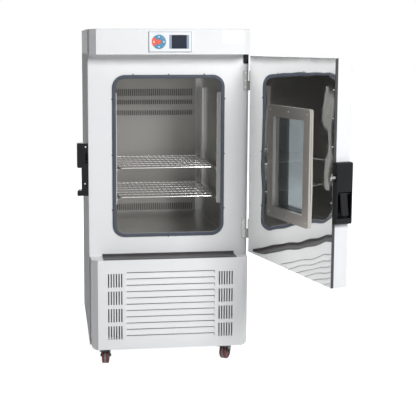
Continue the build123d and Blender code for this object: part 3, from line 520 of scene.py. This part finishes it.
hole_low_x, hole_high_x = glass_low.x - WINDOW_SLEEVE, glass_high.x + WINDOW_SLEEVE
hole_low_z, hole_high_z = glass_low.z - WINDOW_SLEEVE, glass_high.z + WINDOW_SLEEVE
columns = cuts(sheet_low.x, sheet_high.x, hole_low_x, hole_high_x)
rows = cuts(sheet_low.z, sheet_high.z, hole_low_z, hole_high_z)
sheet_y = sheet_high.y - SHEET_SET_BACK
mesh = bmesh.new()
grid = [[mesh.verts.new((x, sheet_y + wave(x, z), z)) for z in rows] for x in columns]
for i in range(len(columns) - 1):
    for j in range(len(rows) - 1):
        across = (columns[i] + columns[i + 1]) / 2
        up = (rows[j] + rows[j + 1]) / 2
        if not (hole_low_x < across < hole_high_x and hole_low_z < up < hole_high_z):
            mesh.faces.new((grid[i][j], grid[i + 1][j], grid[i + 1][j + 1], grid[i][j + 1]))
bmesh.ops.delete(mesh, geom=[v for v in mesh.verts if not v.link_faces], context="VERTS")
door_sheet = piece("door_mirror_sheet", mesh, mirror, "door",
                   ["door_inner_panel"], place=OPEN_DOOR)
print("mirror sheet has", len(door_sheet.data.polygons), "faces")

# %% [markdown]
# ## Slotted air duct cover
# Air from the fan enters the chamber through a sheet with four rows of narrow upright slots. The
# slots could be cut out with a boolean, but that is slow and leaves ragged faces. Here each row of
# the sheet is laid as the strips between its slots, and the sheet is thickened afterwards. A dark
# sheet behind it is painted shade: it stands for the unlit space behind.

# %% The duct cover
SLOT_COUNT = 40
SLOT_SHARE = 0.45
SLOT_MARGIN = 0.012
# Lower and upper edge of each row, above the lower edge of the cover.
SLOT_ROWS = [(0.012, 0.046), (0.498, 0.523), (0.553, 0.576), (0.596, 0.631)]
COVER_THICKNESS = 0.0012
duct_low, duct_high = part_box("rear_duct_panel")


def strip(mesh, low_x, high_x, low_z, high_z):
    """One flat strip of the duct cover's face."""
    corners = [(low_x, low_z), (high_x, low_z), (high_x, high_z), (low_x, high_z)]
    mesh.faces.new([mesh.verts.new((x, duct_low.y, z)) for x, z in corners])


mesh = bmesh.new()
slot_first = duct_low.x + SLOT_MARGIN
slot_pitch = (duct_high.x - SLOT_MARGIN - slot_first) / SLOT_COUNT
plain_from = duct_low.z
for row_from, row_to in SLOT_ROWS:
    row_low, row_high = duct_low.z + row_from, duct_low.z + row_to
    strip(mesh, duct_low.x, duct_high.x, plain_from, row_low)
    web_from = duct_low.x
    for index in range(SLOT_COUNT):
        slot_start = slot_first + index * slot_pitch
        strip(mesh, web_from, slot_start, row_low, row_high)
        web_from = slot_start + slot_pitch * SLOT_SHARE
    strip(mesh, web_from, duct_high.x, row_low, row_high)
    plain_from = row_high
strip(mesh, duct_low.x, duct_high.x, plain_from, duct_high.z)
for side_x in (duct_low.x, duct_high.x):
    side = [(side_x, duct_low.y, duct_low.z), (side_x, duct_high.y, duct_low.z),
            (side_x, duct_high.y, duct_high.z), (side_x, duct_low.y, duct_high.z)]
    mesh.faces.new([mesh.verts.new(corner) for corner in side])
cover = piece("duct_cover", mesh, duct_steel_shaded, "cabinet", ["rear_duct_panel"],
              smooth=False)
sheet_metal = cover.modifiers.new("Sheet thickness", "SOLIDIFY")
sheet_metal.thickness = COVER_THICKNESS
sheet_metal.offset = 0.0
print("duct cover has", len(SLOT_ROWS) * SLOT_COUNT, "slots")

# %% The dark sheet behind it, painted shade
SHADE_SHEET_INSET = 0.004
SHADE_SHEET_THICKNESS, SHADE_SHEET_GAP = 0.0012, 0.0003
shade_sheet_back = duct_high.y - SHADE_SHEET_GAP
shade_sheet_front = shade_sheet_back - SHADE_SHEET_THICKNESS
mesh = bmesh.new()
box_in(mesh, (duct_low.x + SHADE_SHEET_INSET, shade_sheet_front, duct_low.z),
       (duct_high.x - SHADE_SHEET_INSET, shade_sheet_back, duct_high.z))
# A black sheet just behind the slots: painted shade for the unlit duct behind the cover.
piece("duct_lining", mesh, black_trim_and_shade, "cabinet", smooth=False)
print("lining stands", round(shade_sheet_front - duct_low.y, 3), "behind the slots")

# %% [markdown]
# ## Wire shelves
# A shelf is a round rod bent into a frame, with cross rods under fine wires whose tips dip over the
# frame. Turned meshes could make them, but bevelled curves give true round rods at little cost,
# and the frame's corners are bent simply by rounding its route.

# %% Rods along routes
def rods(name, routes, radius, body, closed=False, stands_for=()):
    """Polished round rods along straight or bent routes, as one curve object."""
    data = bpy.data.curves.new(name, "CURVE")
    data.dimensions = "3D"
    data.bevel_depth = radius
    data.bevel_resolution = 3
    data.use_fill_caps = True
    for route in routes:
        spline = data.splines.new("POLY")
        spline.points.add(len(route) - 1)
        for point, place in zip(spline.points, route):
            point.co = (*place, 1)
        spline.use_cyclic_u = closed
        spline.use_smooth = True
    data.materials.append(wire_steel)
    made = bpy.data.objects.new(name, data)
    bpy.context.scene.collection.objects.link(made)
    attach(made, body)
    if stands_for:
        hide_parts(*stands_for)


def rounded_loop(low_x, high_x, low_y, high_y, z, radius, steps=6):
    """A closed rectangular route with bent corners."""
    centres = [(high_x - radius, high_y - radius, 0), (low_x + radius, high_y - radius, 90),
               (low_x + radius, low_y + radius, 180), (high_x - radius, low_y + radius, 270)]
    route = []
    for x, y, start in centres:
        for step in range(steps + 1):
            angle = radians(start + 90 * step / steps)
            route.append((x + radius * cos(angle), y + radius * sin(angle), z))
    return route


print("rod helpers ready")

# %% Two shelves
FRAME_ROD, CROSS_ROD, WIRE = 0.0035, 0.0025, 0.0015
FRAME_BEND = 0.014
CROSS_SPACES, WIRE_SPACES = 6, 20
CROSS_RISE = 0.001
TIP_DROP, TIP_END, TIP_BEND = 0.003, 0.002, 0.006
for level in ("upper", "lower"):
    low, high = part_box(f"shelf_{level}")
    body = f"{level}_shelf"
    x_low, x_high = low.x + FRAME_ROD, high.x - FRAME_ROD
    y_low, y_high = low.y + FRAME_ROD, high.y - FRAME_ROD
    z_rod = low.z + FRAME_ROD
    outer = rounded_loop(x_low, x_high, y_low, y_high, z_rod, FRAME_BEND)
    rods(f"shelf_{level}_frame", [outer], FRAME_ROD, body, True, [f"shelf_{level}"])
    crossing = []
    for index in range(1, CROSS_SPACES):
        y = y_low + (high.y - low.y - 2 * FRAME_ROD) * index / CROSS_SPACES
        crossing.append([(x_low, y, z_rod + CROSS_RISE), (x_high, y, z_rod + CROSS_RISE)])
    rods(f"shelf_{level}_cross_rods", crossing, CROSS_ROD, body)
    wires = []
    z_wire = z_rod + FRAME_ROD + WIRE
    for index in range(1, WIRE_SPACES):
        x = low.x + (high.x - low.x) * index / WIRE_SPACES
        wires.append([(x, low.y + TIP_END, z_wire - TIP_DROP), (x, low.y + TIP_BEND, z_wire),
                      (x, high.y - TIP_BEND, z_wire), (x, high.y - TIP_END, z_wire - TIP_DROP)])
    rods(f"shelf_{level}_wires", wires, WIRE, body)
print("two shelves, each with", WIRE_SPACES - 1, "wires")

# %% [markdown]
# ## Caster wheels
# The solid wheels have flat facets, which show on something so round. More facets in the solid
# would cost faces everywhere it is used, so only the visible wheel is turned finely: a profile with
# a crown, rounded shoulders and a groove for the tread, and others for the pale band in the groove
# and the hub's bosses. Each wheel takes its place and axle from its own rolling joint.

# %% Profiles of a wheel
WHEEL_RADIUS, WHEEL_HALF_WIDTH = 0.0375, 0.0155
HUB_RADIUS, HUB_HALF_WIDTH = 0.012, 0.0125
BAND_HALF_WIDTH, GROOVE_HALF_WIDTH = 0.004, 0.0032
GROOVE_DEPTH, BAND_THICKNESS = 0.0009, 0.00005
# Profiles are pairs of a radius and a distance along the axle from the wheel's middle.
TREAD = [(HUB_RADIUS, -HUB_HALF_WIDTH), (0.029, -HUB_HALF_WIDTH), (0.031, -WHEEL_HALF_WIDTH),
         (0.0345, -WHEEL_HALF_WIDTH), (0.0368, -0.013), (WHEEL_RADIUS, -0.009),
         (WHEEL_RADIUS, -BAND_HALF_WIDTH), (WHEEL_RADIUS - GROOVE_DEPTH, -GROOVE_HALF_WIDTH)]
band_radius = WHEEL_RADIUS - GROOVE_DEPTH + BAND_THICKNESS
BAND = [(WHEEL_RADIUS, -BAND_HALF_WIDTH), (band_radius, -GROOVE_HALF_WIDTH),
        (band_radius, GROOVE_HALF_WIDTH), (WHEEL_RADIUS, BAND_HALF_WIDTH)]
BOSS = [(0.0065, 0.0165), (HUB_RADIUS, 0.0165), (0.0125, HUB_HALF_WIDTH)]
print("profiles of", len(TREAD), "tread points on each side,", len(BAND), "and", len(BOSS))

# %% Four wheels on their axles
wheel_names = [name for name in nodes if name.startswith("caster_wheel")]
for name in wheel_names:
    corner = name.replace("caster_wheel_", "")
    joint = next(joint for joint in frame["joints"] if joint["name"] == f"roll_{corner}")
    axle_turn = Vector(joint["axis"]).to_track_quat("Z", "Y").to_matrix().to_4x4()
    place = Matrix.Translation(joint["pos_m"]) @ axle_turn
    mesh = bmesh.new()
    lathe(mesh, TREAD + [(radius, -height) for radius, height in reversed(TREAD)], place)
    piece(f"wheel_tread_{corner}", mesh, wheel_tread, f"wheel_{corner}", [name])
    # The band in the groove is partly worn tread and partly a painted highlight.
    mesh = bmesh.new()
    lathe(mesh, BAND, place)
    for side in (-1, 1):
        lathe(mesh, [(radius, side * height) for radius, height in BOSS], place)
    piece(f"wheel_band_{corner}", mesh, hub_and_highlight_band, f"wheel_{corner}")
print(len(wheel_names), "wheels")

# %% [markdown]
# ## Screws and clips
# Small round-headed screws hold the door's sheet, the window's frame, the hinges and the strike,
# and black clips hold the seal. A flat disc would do from far away, but a dome with a sunk centre
# catches a highlight and a shadow as a real head does. One profile is turned for each, and every
# place is measured from the edges of the piece that the screw holds.

# %% Screw heads
SCREW_STEPS = 16


def screws(name, places, facing, material, body, radius, place=None):
    """Domed heads with a sunk centre, one at each place, along the facing direction."""
    mesh = bmesh.new()
    turned = Vector(facing).to_track_quat("Z", "Y").to_matrix().to_4x4()
    profile = [(radius, 0), (radius * 0.96, radius * 0.28), (radius * 0.7, radius * 0.5),
               (radius * 0.34, radius * 0.58), (radius * 0.3, radius * 0.2)]
    for spot in places:
        lathe(mesh, profile, Matrix.Translation(spot) @ turned, SCREW_STEPS)
    piece(name, mesh, material, body, place=place)


INWARD, OUTWARD = (0, 1, 0), (0, -1, 0)
print("screw helper ready")

# %% Screws of the door
SHEET_INSET, COLUMN_INSET = 0.00825, 0.00925
COLUMN_SPACES, ROW_SPACES = 8, 4
x_latch, x_hinge = sheet_low.x + SHEET_INSET, sheet_high.x - SHEET_INSET
z_first = sheet_low.z + COLUMN_INSET
column_pitch = (sheet_high.z - COLUMN_INSET - z_first) / COLUMN_SPACES
row_pitch = (x_hinge - x_latch) / ROW_SPACES
z_screws = [z_first + column_pitch * index for index in range(COLUMN_SPACES + 1)]
sheet_screws = [(x_hinge, sheet_high.y, z) for z in z_screws[:-1]]
sheet_screws += [(x_latch, sheet_high.y, z) for z in z_screws]
sheet_screws += [(x_latch + row_pitch * index, sheet_high.y, z) for index in range(1, ROW_SPACES)
                 for z in (sheet_low.z + SHEET_INSET, sheet_high.z - SHEET_INSET)]
screws("door_sheet_screws", sheet_screws, INWARD, zinc, "door", radius=0.0028,
       place=OPEN_DOOR)

FRAME_INSET = 0.020
window_low, window_high = shut_box("window_frame_inner")
y_window = window_high.y
x_middle, z_middle = (window_low.x + window_high.x) / 2, (window_low.z + window_high.z) / 2
z_low, z_high = window_low.z + FRAME_INSET, window_high.z - FRAME_INSET
window_screws = [(x, y_window, z) for x in (window_low.x + FRAME_INSET, window_high.x - FRAME_INSET)
                 for z in (z_low, z_middle, z_high)]
window_screws += [(x_middle, y_window, z) for z in (z_low, z_high)]
screws("window_frame_screws", window_screws, INWARD, zinc, "door", radius=0.003,
       place=OPEN_DOOR)
print(len(sheet_screws), "sheet screws,", len(window_screws), "window screws")

# %% Clips and screws of the cabinet
CLIP_OFFSET = 0.002
CLIP_SHIFTS, CLIP_RISES = (-0.16, 0.0, 0.16), (0.124, 0.374, 0.624)
seal_low, seal_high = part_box("opening_gasket")
x_seal = (seal_low.x + seal_high.x) / 2
y_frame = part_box("front_frame")[0].y
gasket_clips = [(x_seal + shift, y_frame, seal_high.z + CLIP_OFFSET) for shift in CLIP_SHIFTS]
gasket_clips += [(x_seal, y_frame, seal_low.z - CLIP_OFFSET)]
gasket_clips += [(x, y_frame, seal_low.z + rise)
                 for x in (seal_low.x - CLIP_OFFSET, seal_high.x + CLIP_OFFSET)
                 for rise in CLIP_RISES]
screws("gasket_clips", gasket_clips, OUTWARD, black_trim_and_shade, "cabinet", radius=0.003)

LEAF_HEIGHT, LEAF_THICKNESS, LEAF_SCREW_IN = 0.088, 0.003, 0.0105
LEAF_SCREWS = (0.014, 0.044, 0.074)
leaf_low, leaf_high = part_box("cabinet_hinges")
hinge_screws = [(leaf_low.x + LEAF_SCREW_IN, y_frame - LEAF_THICKNESS, leaf_z + rise)
                for leaf_z in (leaf_low.z, leaf_high.z - LEAF_HEIGHT) for rise in LEAF_SCREWS]
screws("hinge_screws", hinge_screws, OUTWARD, zinc, "cabinet", radius=0.004)

UPPER_SCREW_IN, UPPER_SCREW_DOWN = 0.012, 0.016
LOWER_SCREW_IN, LOWER_SCREW_UP = 0.016, 0.055
strike_low, strike_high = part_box("latch_strike")
strike_screws = [
    (strike_high.x - UPPER_SCREW_IN, strike_low.y, strike_high.z - UPPER_SCREW_DOWN),
    (strike_high.x - LOWER_SCREW_IN, strike_low.y, strike_low.z + LOWER_SCREW_UP),
]
screws("strike_screws", strike_screws, OUTWARD, zinc, "cabinet", radius=0.004)
print(len(gasket_clips), "clips,", len(hinge_screws) + len(strike_screws), "cabinet screws")

# %% [markdown]
# ## Key marks
# Each of the four ring keys carries a plain arrow. It could be a picture on the key, but pictures
# blur close up, so the arrow is a thin printed wedge. It rides on its own key and moves with it
# when the key is pressed.

# %% Arrows on the ring keys
MARK_REACH = 0.0225
MARK_TIP, MARK_BASE, MARK_HALF_WIDTH = 0.004, 0.003, 0.005
MARK_HALF_THICKNESS, MARK_PROUD = 0.0001, 0.00005
centre_low, centre_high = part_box("key_centre")
ring_middle = (centre_low + centre_high) / 2
y_mark = centre_low.y - MARK_PROUD
ink = Vector((0, MARK_HALF_THICKNESS, 0))
MARK_WAYS = {"up": (0, 1), "down": (0, -1), "right": (1, 0), "left": (-1, 0)}
for way, (dx, dz) in MARK_WAYS.items():
    along, across = Vector((dx, 0, dz)), Vector((dz, 0, -dx))
    middle = Vector((ring_middle.x, y_mark, ring_middle.z)) + along * MARK_REACH
    base = middle - along * MARK_BASE
    points = [middle + along * MARK_TIP,
              base + across * MARK_HALF_WIDTH, base - across * MARK_HALF_WIDTH]
    mesh = bmesh.new()
    front = [mesh.verts.new(point - ink) for point in points]
    back = [mesh.verts.new(point + ink) for point in points]
    mesh.faces.new(front)
    mesh.faces.new(back[::-1])
    for i in range(3):
        mesh.faces.new((front[i], front[(i + 1) % 3], back[(i + 1) % 3], back[i]))
    piece(f"key_mark_{way}", mesh, mark_white, f"{way}_key", smooth=False)
print(len(MARK_WAYS), "arrow marks")

# %% [markdown]
# ## Dark throats under the louvres
# A louvre is a lip pressed out of the sheet, and under it is a narrow unlit gap. In soft light the
# gap of the solid fills with bounced light and turns pale. Black paint inside the gap would need
# the solid cut into more faces. A thin black bar set back under each lip keeps the gap as dark as
# one into an unlit box.

# %% Louvre throats
LOUVRE_COUNT, LOUVRE_PITCH = 11, 0.029
LOUVRE_HALF_LENGTH = 0.1995
FIRST_LIP_DROP = 0.056
THROAT_SET_BACK, THROAT_DEPTH = 0.0015, 0.006
THROAT_GAP, THROAT_HEIGHT = 0.0002, 0.0025
grille_low, grille_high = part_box("lower_grille_panel")
throat_front = grille_low.y + THROAT_SET_BACK
throat_back = throat_front + THROAT_DEPTH
mesh = bmesh.new()
for row in range(LOUVRE_COUNT):
    throat_top = grille_high.z - FIRST_LIP_DROP - LOUVRE_PITCH * row - THROAT_GAP
    box_in(mesh, (-LOUVRE_HALF_LENGTH, throat_front, throat_top - THROAT_HEIGHT),
           (LOUVRE_HALF_LENGTH, throat_back, throat_top))
piece("louvre_throats", mesh, black_trim_and_shade, "cabinet", smooth=False)
print(LOUVRE_COUNT, "throats")

# %% [markdown]
# ## Lining of the window
# Between the door's two panes runs a dark spacer. Without it the eye looks sideways into pale foam.
# A block with a hole cut through it would do, but four thin plates along the opening's edge, from
# one pane to the other, need no cutting.

# %% Window lining
LINING_PLATE = 0.002
PANE_AND_GAP = 0.0055
mesh = bmesh.new()
border_in(mesh, (glass_low.x, glass_low.y + PANE_AND_GAP, glass_low.z),
          (glass_high.x, glass_high.y - PANE_AND_GAP, glass_high.z), LINING_PLATE)
piece("window_lining", mesh, black_trim_and_shade, "door", smooth=False, place=OPEN_DOOR)
print("window lining round", [round(v, 3) for v in glass_high - glass_low])

# %% [markdown]
# ## Controller border, display bars and bare plate
# The controller's panel has a thin blue-grey line round it, and its display a plain bar at each
# side. At the right of the fascia is a plate, which is left bare. All of them are films and foils a
# few tenths of a millimetre thick. They could be colours in a material, but as raised pieces they
# have a real edge that catches light.

# %% Border of the controller
FILM_PROUD, FILM_SUNK = 0.0003, 0.0001
BORDER_WIDTH = 0.002
bezel_low, bezel_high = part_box("controller_bezel")
mesh = bmesh.new()
border_in(mesh, (bezel_low.x, bezel_low.y - FILM_PROUD, bezel_low.z),
          (bezel_high.x, bezel_low.y + FILM_SUNK, bezel_high.z), BORDER_WIDTH)
piece("controller_border", mesh, border_blue, "cabinet", smooth=False)
print("border round", [round(v, 3) for v in bezel_high - bezel_low])

# %% Bars beside the display
BAR_WIDTH = 0.0105
screen_low, screen_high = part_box("controller_display")
bar_front, bar_back = screen_low.y - FILM_PROUD, screen_low.y + FILM_SUNK
mesh = bmesh.new()
for bar_low in (screen_low.x, screen_high.x - BAR_WIDTH):
    box_in(mesh, (bar_low, bar_front, screen_low.z), (bar_low + BAR_WIDTH, bar_back, screen_high.z))
piece("screen_side_bars", mesh, border_blue, "cabinet", smooth=False)
print("two bars", BAR_WIDTH * 1000, "mm wide")

# %% Bare plate on the fascia
PLATE_WIDTH, PLATE_HEIGHT = 0.100, 0.061
PLATE_FROM_SIDE, PLATE_RISE = 0.040, 0.043
PLATE_PROUD, PLATE_EDGE = 0.0006, 0.00025
fascia_low, fascia_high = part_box("top_fascia")
plate_high_x, plate_low_z = fascia_high.x - PLATE_FROM_SIDE, fascia_low.z + PLATE_RISE
mesh = bmesh.new()
box_in(mesh, (plate_high_x - PLATE_WIDTH, fascia_low.y - PLATE_PROUD, plate_low_z),
       (plate_high_x, fascia_low.y + FILM_SUNK, plate_low_z + PLATE_HEIGHT))
plate = piece("fascia_plate", mesh, panel_white, "cabinet", smooth=False)
plate_rounds = plate.modifiers.new("Edge rounds", "BEVEL")
plate_rounds.width = PLATE_EDGE
plate_rounds.segments = 2
print("bare plate", PLATE_WIDTH, "by", PLATE_HEIGHT)

# %% [markdown]
# ## White floor and surroundings
# The cabinet stands on plain white. Strong lamps could bleach a grey floor to white, but they would
# bleach the cabinet as well. Instead the floor and the world glow white only for rays that come
# straight from the camera, from a mirror or through glass. To all other rays they are dim, so the
# cabinet's left side can fall into shade, and the floor keeps the cabinet's shadow.

# %% Which rays see white
def seen_as_white(tree):
    """One for camera, mirror and glass rays, nought for the rays that light things."""
    path = put(tree, "ShaderNodeLightPath").outputs
    seen = put(tree, "ShaderNodeMath",
               {0: path["Is Camera Ray"], 1: path["Is Glossy Ray"]}, operation="MAXIMUM")
    seen = put(tree, "ShaderNodeMath",
               {0: seen.outputs[0], 1: path["Is Transmission Ray"]}, operation="MAXIMUM")
    return seen.outputs[0]


WHITE = (1, 1, 1, 1)
print("white for seen rays only")

# %% Floor
FLOOR_GLOW = 0.92
FLOOR_REACH = 40
FLOOR_DROP = 0.0005
floor_finish = bpy.data.materials.new("Pale floor")
floor_finish.use_nodes = True
tree = floor_finish.node_tree
shader = tree.nodes["Principled BSDF"]
shader.inputs["Base Color"].default_value = (0.70, 0.70, 0.70, 1)
shader.inputs["Roughness"].default_value = 0.9
glow = put(tree, "ShaderNodeEmission", {"Color": WHITE, "Strength": FLOOR_GLOW})
added = put(tree, "ShaderNodeAddShader", {0: shader.outputs[0], 1: glow.outputs[0]})
choice = put(tree, "ShaderNodeMixShader",
             {0: seen_as_white(tree), 1: shader.outputs[0], 2: added.outputs[0]})
tree.links.new(choice.outputs[0], tree.nodes["Material Output"].inputs["Surface"])
mesh = bmesh.new()
bmesh.ops.create_grid(mesh, x_segments=1, y_segments=1, size=FLOOR_REACH)
data = bpy.data.meshes.new("floor")
mesh.to_mesh(data)
mesh.free()
data.materials.append(floor_finish)
floor = bpy.data.objects.new("floor", data)
floor.location.z = -FLOOR_DROP
bpy.context.scene.collection.objects.link(floor)
print("floor glows at", FLOOR_GLOW)

# %% World
WORLD_FILL = 0.06
world = bpy.data.worlds.new("Studio")
world.use_nodes = True
bpy.context.scene.world = world
tree = world.node_tree
tree.nodes.clear()
dim = put(tree, "ShaderNodeBackground", {"Color": WHITE, "Strength": WORLD_FILL})
bright = put(tree, "ShaderNodeBackground", {"Color": WHITE, "Strength": 1.0})
shown = put(tree, "ShaderNodeMixShader",
            {0: seen_as_white(tree), 1: dim.outputs[0], 2: bright.outputs[0]})
put(tree, "ShaderNodeOutputWorld", {"Surface": shown.outputs[0]})
print("world lights at", WORLD_FILL)

# %% [markdown]
# ## Lamps
# The light comes from the front right and above, as the shade under the fascia and on the left side
# shows. A sun would draw hard edges and a dome would leave no shade, so it is one large soft lamp.
# A weak one hangs above, and one behind the cabinet lights its back, so that the other views show
# it too.

# %% Three soft lamps
def lamp(name, place, aim, size, power):
    """A large square soft lamp that points at a spot."""
    data = bpy.data.lights.new(name, "AREA")
    data.size = size
    data.energy = power
    made = bpy.data.objects.new(name, data)
    made.location = place
    made.rotation_euler = (Vector(aim) - Vector(place)).to_track_quat("-Z", "Y").to_euler()
    bpy.context.scene.collection.objects.link(made)


lamp("key_lamp", (2.1, -5.0, 3.3), aim=(0, -0.3, 0.8), size=1.7, power=285)
lamp("top_lamp", (0.4, -0.6, 4.6), aim=(0, -0.2, 0.8), size=2.5, power=25)
lamp("back_lamp", (0.8, 5.0, 2.8), aim=(0, 0.3, 0.8), size=2.5, power=110)
print(len(bpy.data.lights), "lamps")

# %% [markdown]
# ## Camera
# The view is from a little to the left of the cabinet, at about eye height and more than four
# metres away. A nearer camera with a wider lens would hold it all too, but from this distance the
# cabinet's upright edges stay nearly parallel. The small shift sets the cabinet in the frame
# without turning the camera.

# %% The camera
CAMERA_PLACE = (-0.5312, -4.5585, 1.4756)
YAW, PITCH = 0.1143, 0.1226
camera_data = bpy.data.cameras.new("camera")
camera_data.lens = 81.9
camera_data.sensor_width = 36
camera_data.shift_x = 0.12
camera_data.shift_y = -0.12
camera = bpy.data.objects.new("camera", camera_data)
camera.location = CAMERA_PLACE
gaze = Vector((sin(YAW) * cos(PITCH), cos(YAW) * cos(PITCH), -sin(PITCH)))
camera.rotation_euler = gaze.to_track_quat("-Z", "Y").to_euler()
bpy.context.scene.collection.objects.link(camera)
bpy.context.scene.camera = camera
bpy.context.scene.view_settings.view_transform = "Standard"
print("camera at", [round(v, 2) for v in camera.location])
